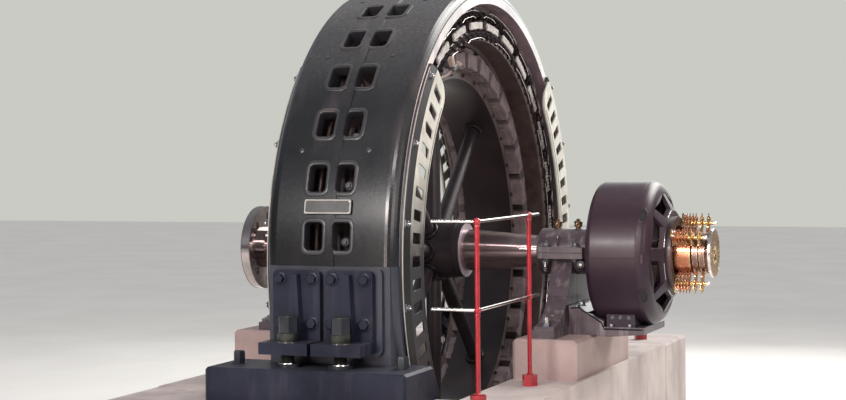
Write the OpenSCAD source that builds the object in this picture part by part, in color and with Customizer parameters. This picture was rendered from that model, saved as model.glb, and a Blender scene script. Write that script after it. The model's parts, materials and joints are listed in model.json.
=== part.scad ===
// Horizontal hydroelectric generator set: a large stator ring with its rotor,
// two pedestal bearings, an overhung exciter and the masonry pit that carries them.
// Millimetres, +X along the shaft towards the exciter, +Z up, ground at z = 0.

/* [Foundation] */
// Height of the pit walls, from the ground to the hall floor level
pit_wall_h = 950; // [930:5:1100]
// Height of the shaft axis above the hall floor level
axis_above_floor = 698; // [690:1:710]
// Length of the foundation along the shaft
foundation_l = 2200; // [2180:10:2260]
// Width of the masonry ledge outside a sole plate
ledge_w = 165; // [120:5:220]
// Length of the pit along the shaft
pit_l = 1380; // [1360:10:1390]
// Clearance of the ring from the pit's edge at floor level
pit_clear = 12; // [8:1:40]
// Bevel along the edges of the masonry
masonry_bevel = 18; // [6:1:30]
// Length of a bearing plinth along the shaft
plinth_l = 381; // [370:1:390]
// Width of a bearing plinth across the shaft
plinth_w = 1180; // [1100:10:1240]
// Height of a bearing plinth above the floor
plinth_h = 229; // [215:1:240]

/* [Stator frame] */
// Outer radius of the stator ring
frame_r = 1600; // [1590:1:1606]
// Width of the stator ring along the shaft
frame_w = 754; // [740:2:770]
// Thickness of the ring's outer wall
frame_wall = 60; // [50:1:75]
// Radial depth of the ring's end flanges
flange_depth = 110; // [100:1:120]
// Thickness of the ring's end flanges
flange_t = 100; // [80:1:120]
// Radius of the rounding at both ends of the ring's outer wall
edge_round = 64; // [50:1:70]
// Shift of the ring's middle from the middle of its windows
frame_shift = 14; // [0:1:18]
// Width of the raised band round the middle of the ring
band_w = 54; // [40:2:54]
// Height of that band above the ring
band_h = 7; // [3:1:7]
// Number of window pairs round a full ring
window_pairs = 32; // [28:4:32]
// Width of a window along the shaft
window_w = 102; // [90:1:108]
// Height of a window round the ring
window_h = 152; // [130:1:160]
// Corner radius of a window
window_corner = 22; // [10:1:30]
// Distance of a window's centre from the middle of the ring
window_x = 80; // [78:1:88]
// Thickness of the ribs that carry the core
rib_t = 26; // [18:1:34]
// Length of those ribs along the shaft
rib_l = 350; // [320:2:380]
// Depth of the lower half's flat feet below the axis
foot_drop = 518; // [505:1:530]
// Thickness of the bolting pads on the feet
pad_t = 25; // [15:1:35]
// Half length of a bolting pad along the shaft
pad_half_l = 325; // [316:1:330]

/* [End guards] */
// Radial width of an end guard with its rim bar
guard_width = 256; // [240:1:270]
// Radial width of the guard's dark rim bar
guard_bar_w = 47; // [36:1:56]
// Height of the rim bar's upright outer wall
guard_bar_h = 22; // [16:1:28]
// Distance of the guard's plate before the ring's face
guard_depth = 40; // [34:1:48]
// Thickness of the guard's plate
guard_t = 8; // [6:1:10]
// Radius of the bead along the guard's inner edge
guard_bead = 9; // [6:1:12]
// Angle from straight down to where each end of the guard begins
guard_sweep = 131.5; // [118:0.5:134]
// Length of the guard's end past its sweep, and the radius of its round corner
guard_end_l = 92; // [60:1:110]
// Angle between neighbouring guard holes
guard_pitch = 5.04; // [4.9:0.01:5.4]
// Length of a guard hole towards the axis
guard_hole_l = 118; // [90:1:122]
// Width of a guard hole
guard_hole_w = 60; // [50:1:66]

/* [Stator core] */
// Height of the ribs between the ring's outer wall and the core
rib_h = 200; // [180:1:210]
// Radial thickness of the stator core
core_t = 94; // [80:1:110]
// Length of the stator core along the shaft
core_l = 400; // [380:2:410]
// Length of a coil head beyond the core
coil_head_l = 130; // [110:2:140]
// Radial clearance of the coil heads from the bore
coil_inset = 24; // [14:1:30]
// Depth of the coil heads' outer side below the core's outer side
coil_step = 10; // [4:1:16]

/* [Feet] */
// Distance of a jacking bracket's centre from the ring's middle
bracket_x = 150; // [146:1:155]
// Width of a jacking bracket
bracket_w = 272; // [256:1:276]
// Thickness of a jacking bracket's back plate
bracket_t = 38; // [30:1:50]
// Reach of a jacking bracket's foot from the pad
bracket_reach = 215; // [195:1:230]
// Thickness of a jacking bracket's foot
bracket_foot_t = 62; // [54:1:72]
// Depth of the bracket's top below the axis
bracket_top = 19; // [15:1:30]
// Depth of the bracket foot's underside below the axis
bracket_bottom = 451; // [440:1:460]
// Distance of the jack screw from the bracket's back
jack_out = 145; // [125:1:155]
// Radius of a jack screw
jack_r = 30; // [24:1:34]
// Width of a jack screw's head across flats
jack_head_af = 92; // [80:1:100]
// Height of a jack screw's head
jack_head_h = 134; // [100:1:150]
// Radius of a jack screw's round pad
jack_pad_r = 66; // [50:1:80]
// Half length of a sole plate along the shaft
sole_half_l = 568; // [550:2:590]
// Reach of a sole plate past the jack screw's pad
sole_margin = 79; // [60:1:100]
// Bevel along the edges of a sole plate
sole_bevel = 14; // [6:1:22]

/* [Rotor] */
// Air gap between the poles and the stator bore
air_gap = 8; // [6:0.5:12]
// Number of field poles
poles = 32; // [28:4:36]
// Height of a field pole above the rotor rim
pole_h = 142; // [130:1:150]
// Radial thickness of the rotor rim
rim_t = 50; // [40:1:60]
// Width of the rotor rim along the shaft
rim_w = 320; // [300:2:330]
// Width of a pole's body
pole_w = 112; // [100:1:120]
// Width of a pole's shoe
shoe_w = 168; // [150:1:176]
// Height of a pole's shoe
shoe_h = 34; // [26:1:40]
// Thickness of a field coil's winding
coil_t = 27; // [20:1:30]
// Number of rotor arms
arms = 8; // [6:2:8]
// Radius of an arm at the hub
arm_hub_r = 50; // [40:1:56]
// Radius of an arm at the rim
arm_rim_r = 37; // [30:1:42]
// Radius of the hub
hub_r = 171; // [165:1:180]
// Length of the hub
hub_l = 344; // [330:2:360]
// Radius of the hub's end rings
hub_ring_r = 165; // [155:1:170]
// Thickness of the hub's end rings
hub_ring_t = 46; // [30:1:60]

/* [Shaft and bearings] */
// Radius of the shaft in the hub
seat_r = 125; // [120:1:130]
// Radius of the shaft where its taper starts
taper_r = 122; // [118:1:124]
// Radius of the shaft's journals
journal_r = 89; // [86:1:92]
// Radius of the shaft in the exciter
tail_r = 60; // [55:1:66]
// Radial running clearance of a journal in its bearing
journal_clear = 0.08; // [0.05:0.01:0.1]
// Distance of each pedestal from the ring's middle
pedestal_x = 862; // [858:1:868]
// Thickness of a pedestal along the shaft
pedestal_t = 122; // [116:1:136]
// Half width of a pedestal's foot
pedestal_foot = 530; // [500:5:550]
// Height of a pedestal's foot plate
pedestal_foot_h = 46; // [36:1:60]
// Length of a pedestal's foot plate along the shaft
pedestal_foot_l = 142; // [140:2:170]
// Half width of a pedestal below its bearing
pedestal_neck = 122; // [114:1:130]
// Outer radius of a bearing housing
housing_r = 137; // [132:1:145]
// Length of a bearing housing
housing_l = 308; // [290:2:316]
// Half width of the bearing's split flange
split_half_w = 190; // [182:1:205]
// Thickness of each half of the split flange
split_t = 34; // [26:1:44]
// Radius of the shaft coupling
coupling_r = 260; // [240:1:280]
// Thickness of the shaft coupling
coupling_t = 60; // [45:1:70]
// Radius of the coupling's bolt circle
coupling_pcr = 200; // [190:1:210]
// Radius of a coupling bolt hole
coupling_hole_r = 22; // [16:1:26]
// Number of coupling bolt holes
coupling_holes = 8; // [6:2:12]
// Distance from the ring's middle to the coupling's outer face
coupling_x = 1190; // [1180:1:1220]
// Radius of the centring recess in the coupling's face
recess_r = 110; // [100:1:125]
// Depth of that recess
recess_depth = 30; // [20:1:36]
// Step from the journal down to the coupling's seat
coupling_step = 6; // [4:1:8]

/* [Exciter] */
// Outer radius of the exciter yoke
yoke_r = 417; // [410:1:420]
// Distance from the ring's middle to the back of the exciter
yoke_x = 1072; // [1066:1:1080]
// Length of the exciter's cylindrical yoke
yoke_l = 303; // [296:1:312]
// Thickness of the exciter's yoke
yoke_wall = 52; // [40:1:60]
// Corner radius of the exciter's rear shoulder
shoulder_r = 38; // [30:1:50]
// Radius of the hole in the exciter's back
back_hole_r = 130; // [120:1:150]
// Length of the exciter's open front cone
cone_l = 127; // [120:1:134]
// Outer radius of the cone's front ring
cone_r = 246; // [242:1:252]
// Number of openings in the cone
cone_openings = 8; // [6:1:8]
// Radius of the exciter's armature
armature_r = 228; // [220:1:232]
// Clearance between armature and exciter poles
armature_gap = 6; // [5:0.5:8]
// Number of exciter poles
exciter_pole_count = 6; // [4:2:6]
// Radius of the commutator
commutator_r = 130; // [124:1:134]
// Length of the commutator
commutator_l = 112; // [106:1:118]
// Distance from the cone's front to the commutator
commutator_inset = 8; // [6:1:12]
// Distance from the commutator to the first slip ring
slip_offset = 10; // [8:1:14]
// Radius of the slip rings
slip_r = 118; // [110:1:122]
// Width of a slip ring
slip_w = 30; // [24:1:34]
// Gap between the two slip rings
slip_gap = 10; // [8:1:14]
// Radius of the slotted end disc
end_disc_r = 141; // [136:1:146]
// Thickness of the slotted end disc
end_disc_t = 16; // [12:1:20]
// Distance from the last slip ring to the end disc
end_disc_offset = 24; // [20:1:30]
// Number of slots in the end disc
end_disc_slots = 24; // [16:2:24]
// Radius of the circle that the brush arms stand on
arm_circle_r = 196; // [190:1:204]
// Depth of the front cone's rounded shoulder along the shaft
cone_shoulder_l = 70; // [60:1:80]
// Outer radius where that shoulder ends
cone_shoulder_r = 343; // [335:1:350]
// Radius of a brush arm
brush_arm_r = 11; // [8:0.5:13]
// Number of brush holders on an arm over the commutator
holders = 5; // [3:1:5]
// Clearance of a brush holder from the moving surfaces
brush_clear = 6; // [5:0.5:10]

// Length of the exciter's feet along the shaft
exciter_foot_l = 167; // [150:1:175]
// Rise of the exciter bracket where it leaves the pedestal
bracket_rise = 165; // [150:1:175]
// Thickness of the exciter bracket's plate at its free end
bracket_plate_t = 40; // [30:1:50]

/* [Guard rail] */
// Height of the rail posts
post_h = 952; // [930:2:990]
// Radius of a rail post
post_r = 12.5; // [10:0.5:16]
// Height of the upper rail above the floor
upper_rail_h = 943; // [925:1:950]
// Height of the lower rail above the floor
lower_rail_h = 492; // [470:1:520]
// Radius of the rails
rail_r = 9.5; // [7:0.5:12]
// Distance of the rail posts from the ring's middle, along the shaft
post_x = 874; // [860:2:886]
// Distance of the inner post from the axis, across the shaft
inner_post_y = 817; // [800:1:840]
// Distance of the corner post from the axis, across the shaft
corner_post_y = 1684; // [1660:2:1700]
// Overhang of the rails past the corner post
rail_overhang_x = 248; // [200:1:260]
// Overhang of the rails past the inner post
rail_overhang_y = 168; // [150:1:210]

/* [Nameplate] */
// Length of the bare nameplate
plate_l = 272; // [240:1:290]
// Height of the bare nameplate
plate_h = 80; // [60:1:90]
// Thickness of the bare nameplate
plate_t = 9; // [6:1:12]

/* [Hidden] */
$fn = 96;
// Gap that keeps round seats of pieces on one body from cutting into each other
seat = 0.05;
// Overlap that joins shapes of one solid
lap = 1;
axis_z = pit_wall_h + axis_above_floor;
face_x = frame_w / 2;
shell_in_r = frame_r - frame_wall;
flange_r = frame_r - flange_depth;
core_r = shell_in_r - rib_h;
core_bore_r = core_r - core_t;
guard_out_r = frame_r - edge_round;
guard_r = guard_out_r - guard_width;
guard_plate_r = guard_out_r - guard_bar_w;
floor_z = -axis_above_floor;
plinth_top = floor_z + plinth_h;
plinth_inset = 4;
plinth_x0 = pit_l / 2 + plinth_inset;
plinth_x1 = plinth_x0 + plinth_l;
sole_top = -foot_drop;
ring_clear = 8;
pit_half_w = sqrt(pow(frame_r + band_h, 2) - pow(axis_above_floor, 2)) + pit_clear;
pad_y = frame_r + pad_t;
sole_in = pit_half_w + 10;
sole_out = pad_y + jack_out + jack_pad_r + sole_margin;
foundation_half_w = sole_out + ledge_w;
pole_tip_r = core_bore_r - air_gap;
rim_r = pole_tip_r - pole_h;
coupling_inner_x = coupling_x - coupling_t;
yoke_front_x = yoke_x + yoke_l;
cone_front_x = yoke_front_x + cone_l;
rocker_t = 26;
rocker_x = cone_front_x;
commutator_x = rocker_x + commutator_inset;
slip_x = commutator_x + commutator_l + slip_offset;
slip_end_x = slip_x + 2 * slip_w + slip_gap;
end_disc_x = slip_end_x + end_disc_offset;
shaft_end_x = end_disc_x + end_disc_t;
brush_arm_over = 12;
brush_arm_end_x = slip_end_x + brush_arm_over;
bracket_plate_z = -(yoke_r + 3);
centre_x = (shaft_end_x - coupling_x) / 2;
window_step = 360 / window_pairs;
brush_angles = [60, 150, 240, 330];

// Places a child given from the shaft axis and the ring's middle
module at_axis() translate([-centre_x, 0, axis_z]) children();
// Lays a turned shape along the shaft
module turned() rotate([0, 90, 0]) children();
// Turns a child round the shaft, from straight out along +Y towards +Z
module around(angle) rotate([angle, 0, 0]) children();
// A straight round bar along the shaft
module bar(r, x0, x1) translate([x0, 0, 0]) turned() cylinder(r = r, h = x1 - x0);
// A round ring along the shaft
module ring(r_out, r_in, x0, x1) difference() {
    bar(r_out, x0, x1);
    bar(r_in, x0 - lap, x1 + lap);
}

function arc(cx, cy, r, a0, a1, n) =
    [for (i = [0:n]) [cx + r * cos(a0 + (a1 - a0) * i / n), cy + r * sin(a0 + (a1 - a0) * i / n)]];
function round_rect(w, h, r, n = 4) = concat(
    arc(w / 2 - r, h / 2 - r, r, 0, 90, n), arc(r - w / 2, h / 2 - r, r, 90, 180, n),
    arc(r - w / 2, r - h / 2, r, 180, 270, n), arc(w / 2 - r, r - h / 2, r, 270, 360, n));

// A block with its four upright edges and its top edges bevelled, flat below
module capped_block(size, b) {
    hull() {
        translate([b, b, 0]) cube([size[0] - 2 * b, size[1] - 2 * b, size[2]]);
        translate([b, 0, 0]) cube([size[0] - 2 * b, size[1], size[2] - b]);
        translate([0, b, 0]) cube([size[0], size[1] - 2 * b, size[2] - b]);
    }
}

// Foundation
module side_wall() translate([-foundation_l / 2, pit_half_w, floor_z - pit_wall_h])
    capped_block([foundation_l, foundation_half_w - pit_half_w, pit_wall_h], masonry_bevel);
module end_wall() translate([pit_l / 2, -pit_half_w, floor_z - pit_wall_h])
    cube([(foundation_l - pit_l) / 2, 2 * pit_half_w, pit_wall_h]);
module foundation_near_wall() color("#b9aba6") at_axis() mirror([0, 1, 0]) side_wall();
module foundation_far_wall() color("#b9aba6") at_axis() side_wall();
module foundation_front_wall() color("#b9aba6") at_axis() end_wall();
module foundation_rear_wall() color("#b9aba6") at_axis() mirror([1, 0, 0]) end_wall();
module plinth() translate([plinth_x0, -plinth_w / 2, floor_z])
    capped_block([plinth_l, plinth_w, plinth_h], masonry_bevel);
module bearing_plinth_front() color("#cfbfba") at_axis() plinth();
module bearing_plinth_rear() color("#cfbfba") at_axis() mirror([1, 0, 0]) plinth();

// Sole plates, hollowed where the ring passes
module sole_plate() difference() {
    translate([-sole_half_l, sole_in, floor_z])
        capped_block([2 * sole_half_l, sole_out - sole_in, axis_above_floor - foot_drop], sole_bevel);
    bar(frame_r + ring_clear, -sole_half_l - lap, sole_half_l + lap);
}
module sole_plate_near() color("#3a3f47") at_axis() mirror([0, 1, 0]) sole_plate();
module sole_plate_far() color("#3a3f47") at_axis() sole_plate();

// Stator frame: a C section turned through half a circle
function frame_section() = concat(
    [[flange_r, -face_x]], arc(frame_r - edge_round, edge_round - face_x, edge_round, -90, 0, 6),
    [[frame_r, -band_w / 2], [frame_r + band_h, -band_w / 2], [frame_r + band_h, band_w / 2],
        [frame_r, band_w / 2]],
    arc(frame_r - edge_round, face_x - edge_round, edge_round, 0, 90, 6),
    [[flange_r, face_x], [flange_r, face_x - flange_t], [shell_in_r, face_x - flange_t],
        [shell_in_r, flange_t - face_x], [flange_r, flange_t - face_x]]);
module frame_half(start) translate([frame_shift, 0, 0]) turned() rotate([0, 0, start])
    rotate_extrude(angle = 180, $fn = 180) polygon(frame_section());
module window_cut(angle, x) around(angle) translate([x, frame_r, 0]) rotate([90, 0, 0])
    linear_extrude(height = 4 * frame_wall, center = true)
        polygon(round_rect(window_w, window_h, window_corner));
module window_cuts(angles) for (angle = angles, side = [-1, 1]) window_cut(angle, side * window_x);
module core_rib(angle) around(angle) translate([-rib_l / 2, core_r, -rib_t / 2])
    cube([rib_l, shell_in_r + 4 * lap - core_r, rib_t]);
upper_angles = [for (k = [0:window_pairs / 2 - 1]) window_step * (k + 0.5)];
foot_angle = asin(foot_drop / frame_r) + window_step / 2;
lower_angles = [for (a = upper_angles) if (a > foot_angle && a < 180 - foot_angle) -a];
module stator_frame_upper() color("#454b55") at_axis() difference() {
    union() {
        frame_half(90);
        for (k = [1:window_pairs / 2 - 1]) core_rib(window_step * k);
    }
    window_cuts(upper_angles);
}
foot_half_l = face_x - 30;
pad_margin = 17;
pad_round = 36;
foot_bite = 20;
module foot(side) mirror([0, side > 0 ? 0 : 1, 0]) {
    difference() {
        translate([frame_shift - foot_half_l, pit_half_w - 20, -foot_drop])
            cube([2 * foot_half_l, frame_r - pit_half_w + foot_bite, foot_drop]);
        bar(shell_in_r, -frame_w, frame_w);
    }
    translate([0, pad_y, -(bracket_top + bracket_bottom) / 2]) rotate([90, 0, 0])
        linear_extrude(height = pad_t + 4 * lap)
            polygon(round_rect(2 * pad_half_l, bracket_bottom - bracket_top + 2 * pad_margin, pad_round));
}
module stator_frame_lower() color("#434953") at_axis() difference() {
    union() {
        frame_half(-90);
        for (k = [1:window_pairs / 2 - 1]) core_rib(-window_step * k);
        foot(1);
        foot(-1);
    }
    window_cuts(lower_angles);
}

// Stator core and coil heads
module stator_core() color("#3c3331") at_axis() ring(core_r, core_bore_r, -core_l / 2, core_l / 2, $fn = 180);
coil_in_r = core_bore_r + coil_inset;
coil_out_r = core_r - coil_step;
coil_round = (coil_out_r - coil_in_r) / 3;
coil_end_x = core_l / 2 + coil_head_l;
module coil_heads() turned() rotate_extrude($fn = 180) polygon(concat(
    [[coil_in_r, core_l / 2]],
    arc(coil_in_r + coil_round, coil_end_x - coil_round, coil_round, 180, 90, 3),
    arc(coil_out_r - coil_round, coil_end_x - coil_round, coil_round, 90, 0, 3),
    [[coil_out_r, core_l / 2]]));
module coil_heads_front() color("#2a2224") at_axis() coil_heads();
module coil_heads_rear() color("#2a2224") at_axis() mirror([1, 0, 0]) coil_heads();

// End guards: a perforated sheet with a bead and a thick rim bar, open over the top
guard_x1 = face_x + guard_depth;
guard_x0 = guard_x1 - guard_t;
guard_end_r = guard_r + guard_bead;
guard_bar_edge = 6;
guard_bead_lap = 6;
guard_hole_round = 9;
bar_end_angle = atan(guard_end_l / guard_plate_r);
function bead() = arc(guard_r + guard_bead, guard_x1 - guard_bead, guard_bead, 90, 320, 8);
function bar_section() = [[guard_plate_r, face_x], [guard_out_r, face_x],
    [guard_out_r, face_x + guard_bar_h - guard_bar_edge],
    [guard_out_r - guard_bar_edge, face_x + guard_bar_h], [guard_plate_r, guard_x1]];
module guard_sector() turned() rotate([0, 0, -guard_sweep])
    rotate_extrude(angle = 2 * guard_sweep, $fn = 180) polygon(concat(bar_section(), bead(),
        [[guard_end_r + guard_bead_lap, guard_x0], [guard_plate_r, guard_x0]]));
module bar_end() turned() rotate([0, 0, guard_sweep]) rotate_extrude(angle = bar_end_angle, $fn = 180)
    polygon(bar_section());
module guard_end() turned() rotate([0, 0, guard_sweep]) translate([0, 0, guard_x0])
    linear_extrude(height = guard_t) polygon(concat(
        [[guard_end_r, -lap], [guard_plate_r, -lap], [guard_plate_r, guard_end_l]],
        arc(guard_end_r + guard_end_l, 0, guard_end_l, 90, 180, 14)));
module guard_hole(angle) around(angle - 90)
    translate([guard_x0 - lap, (guard_r + 2 * guard_bead + guard_plate_r) / 2, 0]) rotate([0, 90, 0])
        linear_extrude(height = guard_t + 2 * lap)
            polygon(round_rect(guard_hole_w, guard_hole_l, guard_hole_round));
guard_holes = floor((guard_sweep + bar_end_angle - guard_pitch / 2) / guard_pitch);
module end_guard() difference() {
    union() {
        guard_sector();
        for (side = [0, 1]) mirror([0, side, 0]) {
            bar_end();
            guard_end();
        }
    }
    for (k = [-guard_holes:guard_holes]) guard_hole(k * guard_pitch);
}
module end_guard_front() color("#d9d3c4") at_axis() translate([frame_shift, 0, 0]) end_guard();
module end_guard_rear() color("#d9d3c4") at_axis() translate([frame_shift, 0, 0]) mirror([1, 0, 0]) end_guard();

// Bare nameplate between the two lowest window rows on the near side
plate_round = 8;
module nameplate() color("#8d8a83") at_axis() around(180 - window_step)
    translate([0, frame_r + band_h + 0.2, 0]) rotate([-90, 0, 0])
        linear_extrude(height = plate_t) polygon(round_rect(plate_l, plate_h, plate_round));

// Jacking brackets: a back plate with a rib, and a foot that the jack screw passes through
bracket_round = 26;
bracket_foot_side = 3;
bracket_rib_w = 42;
bracket_rib_top = 20;
module bracket(x) translate([x, pad_y, 0]) difference() {
    union() {
        translate([0, bracket_t, -(bracket_top + bracket_bottom) / 2]) rotate([90, 0, 0])
            linear_extrude(height = bracket_t)
                polygon(round_rect(bracket_w, bracket_bottom - bracket_top, bracket_round));
        translate([-bracket_w / 2 - bracket_foot_side, 0, -bracket_bottom])
            cube([bracket_w + 2 * bracket_foot_side, bracket_reach, bracket_foot_t]);
        translate([0, bracket_t - lap, 0]) rotate([90, 0, 0]) mirror([0, 0, 1])
            linear_extrude(height = bracket_rib_w) polygon([
                [-bracket_rib_top, -bracket_top - bracket_rib_top],
                [bracket_rib_top, -bracket_top - bracket_rib_top],
                [2 * bracket_rib_top, bracket_foot_t - bracket_bottom - lap],
                [-2 * bracket_rib_top, bracket_foot_t - bracket_bottom - lap]]);
    }
    translate([0, jack_out, -bracket_bottom - lap]) cylinder(r = jack_r + seat, h = bracket_foot_t + 2 * lap);
}
module brackets() for (side = [-1, 1]) bracket(side * bracket_x);
module jacking_brackets_near() color("#3d434d") at_axis() mirror([0, 1, 0]) brackets();
module jacking_brackets_far() color("#3d434d") at_axis() brackets();
jack_pad_h = 18;
module jack_screw(x) translate([x, pad_y + jack_out, 0]) {
    translate([0, 0, sole_top]) cylinder(r = jack_pad_r, h = jack_pad_h);
    translate([0, 0, sole_top + jack_pad_h - lap])
        cylinder(r = jack_r, h = foot_drop + bracket_foot_t - bracket_bottom - jack_pad_h + 2 * lap);
    translate([0, 0, bracket_foot_t - bracket_bottom])
        cylinder(r = jack_head_af / sqrt(3), h = jack_head_h, $fn = 6);
}
module screws() for (side = [-1, 1]) jack_screw(side * bracket_x);
module jack_screws_near() color("#5a5f66") at_axis() mirror([0, 1, 0]) screws();
module jack_screws_far() color("#5a5f66") at_axis() screws();

// Pedestal bearings: an A-shaped casting split at the axis under a bolted cap
pedestal_lip = 20;
pedestal_sweep_r = 330;
pedestal_neck_z = 40;
split_inset = 18;
function pedestal_half() = concat(
    [[pedestal_foot - pedestal_lip, plinth_top + pedestal_foot_h - lap]],
    arc(pedestal_foot - pedestal_lip, plinth_top + pedestal_foot_h + pedestal_sweep_r,
        pedestal_sweep_r - pedestal_lip, 270, 201, 8),
    [[pedestal_neck, -pedestal_neck_z]]);
function flipped(points) = [for (i = [len(points) - 1:-1:0]) [-points[i][0], points[i][1]]];
module split_plate(z) translate([-housing_l / 2 + split_inset, -split_half_w, z])
    cube([housing_l - 2 * split_inset, 2 * split_half_w, split_t]);
module beyond_split(z) translate([-housing_l, -2 * split_half_w, z])
    cube([2 * housing_l, 4 * split_half_w, 2 * housing_r]);
module pedestal_body() difference() {
    union() {
        translate([-pedestal_foot_l / 2, -pedestal_foot, plinth_top])
            cube([pedestal_foot_l, 2 * pedestal_foot, pedestal_foot_h]);
        translate([-pedestal_t / 2, 0, 0]) rotate([90, 0, 90]) linear_extrude(height = pedestal_t)
            polygon(concat(pedestal_half(), flipped(pedestal_half())));
        bar(housing_r, -housing_l / 2, housing_l / 2);
        split_plate(-split_t);
    }
    bar(journal_r + journal_clear, -housing_l, housing_l);
    beyond_split(0);
}
module cap_body() difference() {
    union() {
        bar(housing_r, -housing_l / 2, housing_l / 2);
        split_plate(0);
    }
    bar(journal_r + journal_clear, -housing_l, housing_l);
    beyond_split(-2 * housing_r);
}
module pedestal_front() color("#352f2f") at_axis() translate([pedestal_x, 0, 0]) pedestal_body();
module pedestal_rear() color("#352f2f") at_axis() translate([-pedestal_x, 0, 0]) pedestal_body();
module bearing_cap_front() color("#3a3434") at_axis() translate([pedestal_x, 0, 0]) cap_body();
module bearing_cap_rear() color("#3a3434") at_axis() translate([-pedestal_x, 0, 0]) cap_body();
lubricator_gap = 62;
lubricator_neck_r = 15;
lubricator_cup_r = 24;
lubricator_knob_r = 11;
lubricator_sink = 4;
lubricator_cup_z = 10;
lubricator_cup_h = 30;
lubricator_knob_h = 10;
module lubricator(x) translate([x, 0, housing_r]) {
    translate([0, 0, -lubricator_sink]) cylinder(r = lubricator_neck_r, h = lubricator_cup_z + lubricator_sink + lap);
    translate([0, 0, lubricator_cup_z]) cylinder(r = lubricator_cup_r, h = lubricator_cup_h);
    translate([0, 0, lubricator_cup_z + lubricator_cup_h - lap]) cylinder(r = lubricator_knob_r, h = lubricator_knob_h);
}
module lubricators() color("#7d7666") at_axis() difference() {
    for (side = [-1, 1], end = [-1, 1]) lubricator(side * pedestal_x + end * lubricator_gap);
    bar(housing_r + seat, -pedestal_x - housing_l, pedestal_x + housing_l);
}

// Exciter bracket: runs from the front pedestal's foot out below the exciter
bracket_x0 = pedestal_x + pedestal_foot_l / 2;
bracket_step_inset = 69;
bracket_step_x = yoke_x + bracket_step_inset;
bracket_step_h = 32;
bracket_half_w = 250;
bracket_round_x = 40;
foot_inset = 14;
foot_x0 = bracket_step_x + foot_inset;
foot_x1 = foot_x0 + exciter_foot_l;
bracket_over = 60;
bracket_x1 = foot_x1 + bracket_over;
bracket_slope = 90;
bracket_sink = 8;
exciter_gap = 1;
module exciter_bracket() color("#3b3a3f") at_axis() difference() {
    translate([0, bracket_half_w, 0]) rotate([90, 0, 0]) linear_extrude(height = 2 * bracket_half_w)
        polygon([[bracket_x0, plinth_top], [bracket_x0, plinth_top + bracket_rise],
            [bracket_x0 + bracket_round_x, plinth_top + bracket_rise],
            [bracket_step_x, bracket_plate_z + bracket_step_h],
            [bracket_step_x, bracket_plate_z], [bracket_x1, bracket_plate_z],
            [bracket_x1, bracket_plate_z - bracket_plate_t], [plinth_x1 + bracket_slope, plinth_top - bracket_sink],
            [plinth_x1 + bracket_sink, plinth_top]]);
    bar(yoke_r + exciter_gap, yoke_x - yoke_back_t, bracket_x1 + lap);
}

// Exciter yoke with its rounded back, and the feet that stand on the bracket
yoke_in_r = yoke_r - yoke_wall;
yoke_back_t = 30;
exciter_foot_y = 90;
exciter_foot_w = 140;
exciter_foot_h = 90;
module exciter_yoke() color("#4a484e") at_axis() difference() {
    union() {
        turned() rotate_extrude($fn = 128) polygon(concat(
            [[back_hole_r, yoke_x]],
            arc(yoke_r - shoulder_r, yoke_x + shoulder_r, shoulder_r, -90, 0, 8),
            [[yoke_r, yoke_front_x], [yoke_in_r, yoke_front_x], [yoke_in_r, yoke_x + shoulder_r],
                [yoke_in_r - shoulder_r, yoke_x + yoke_back_t], [back_hole_r, yoke_x + yoke_back_t]]));
        for (side = [0, 1]) mirror([0, side, 0]) translate([foot_x0, exciter_foot_y, bracket_plate_z])
            cube([exciter_foot_l, exciter_foot_w, exciter_foot_h]);
    }
    bar(yoke_in_r, yoke_x + shoulder_r, yoke_front_x + lap);
}

// Exciter poles: a shoe, a body and a coil, shaped to the armature and the yoke
pole_inset = 20;
pole_x0 = yoke_x + shoulder_r + pole_inset;
pole_l = yoke_front_x - pole_inset - pole_x0;
pole_in_r = armature_r + armature_gap;
exciter_shoe_w = 124;
exciter_shoe_h = 40;
exciter_body_w = 72;
exciter_coil_w = 116;
exciter_coil_h = 70;
module pole_block(inset, r0, h, w) translate([pole_x0 + inset, r0, -w / 2]) cube([pole_l - 2 * inset, h, w]);
exciter_coil_inset = 16;
exciter_coil_gap = 4;
module exciter_pole(angle) around(angle) difference() {
    union() {
        pole_block(0, pole_in_r, exciter_shoe_h, exciter_shoe_w);
        pole_block(exciter_shoe_h, pole_in_r + exciter_shoe_h / 2,
            yoke_in_r - pole_in_r - exciter_shoe_h / 2 - lap, exciter_body_w);
        pole_block(exciter_coil_inset, pole_in_r + exciter_shoe_h + exciter_coil_gap,
            exciter_coil_h, exciter_coil_w);
    }
    bar(pole_in_r, yoke_x, yoke_front_x + lap);
}
module exciter_poles() color("#6b4a3c") at_axis() intersection() {
    for (k = [0:exciter_pole_count - 1]) exciter_pole(30 + k * 360 / exciter_pole_count);
    bar(yoke_in_r - seat, yoke_x, yoke_front_x + lap);
}

// Rounded front of the exciter with its open cone, and the ring that carries the brush arms
cone_t = 22;
rocker_clear = 30;
rocker_w = 52;
cone_rib_w = 34;
rocker_in_r = commutator_r + rocker_clear;
cone_in_r = rocker_in_r + cone_t;
shoulder_x = yoke_front_x + cone_shoulder_l;
cone_drop = yoke_r - cone_shoulder_r;
function cone_shoulder(n) = [for (i = [0:n])
    [cone_shoulder_r + cone_drop * cos(90 * i / n), yoke_front_x + cone_shoulder_l * sin(90 * i / n)]];
module cone_opening(angle) around(angle) translate([shoulder_x - cone_t, 0, 0]) rotate([0, 90, 0])
    linear_extrude(height = cone_l) polygon([
        [-cone_r * tan(180 / cone_openings) + cone_rib_w, cone_r + 8],
        [cone_r * tan(180 / cone_openings) - cone_rib_w, cone_r + 8],
        [cone_shoulder_r * tan(180 / cone_openings) - cone_rib_w, cone_shoulder_r - 12],
        [-cone_shoulder_r * tan(180 / cone_openings) + cone_rib_w, cone_shoulder_r - 12]]);
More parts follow.
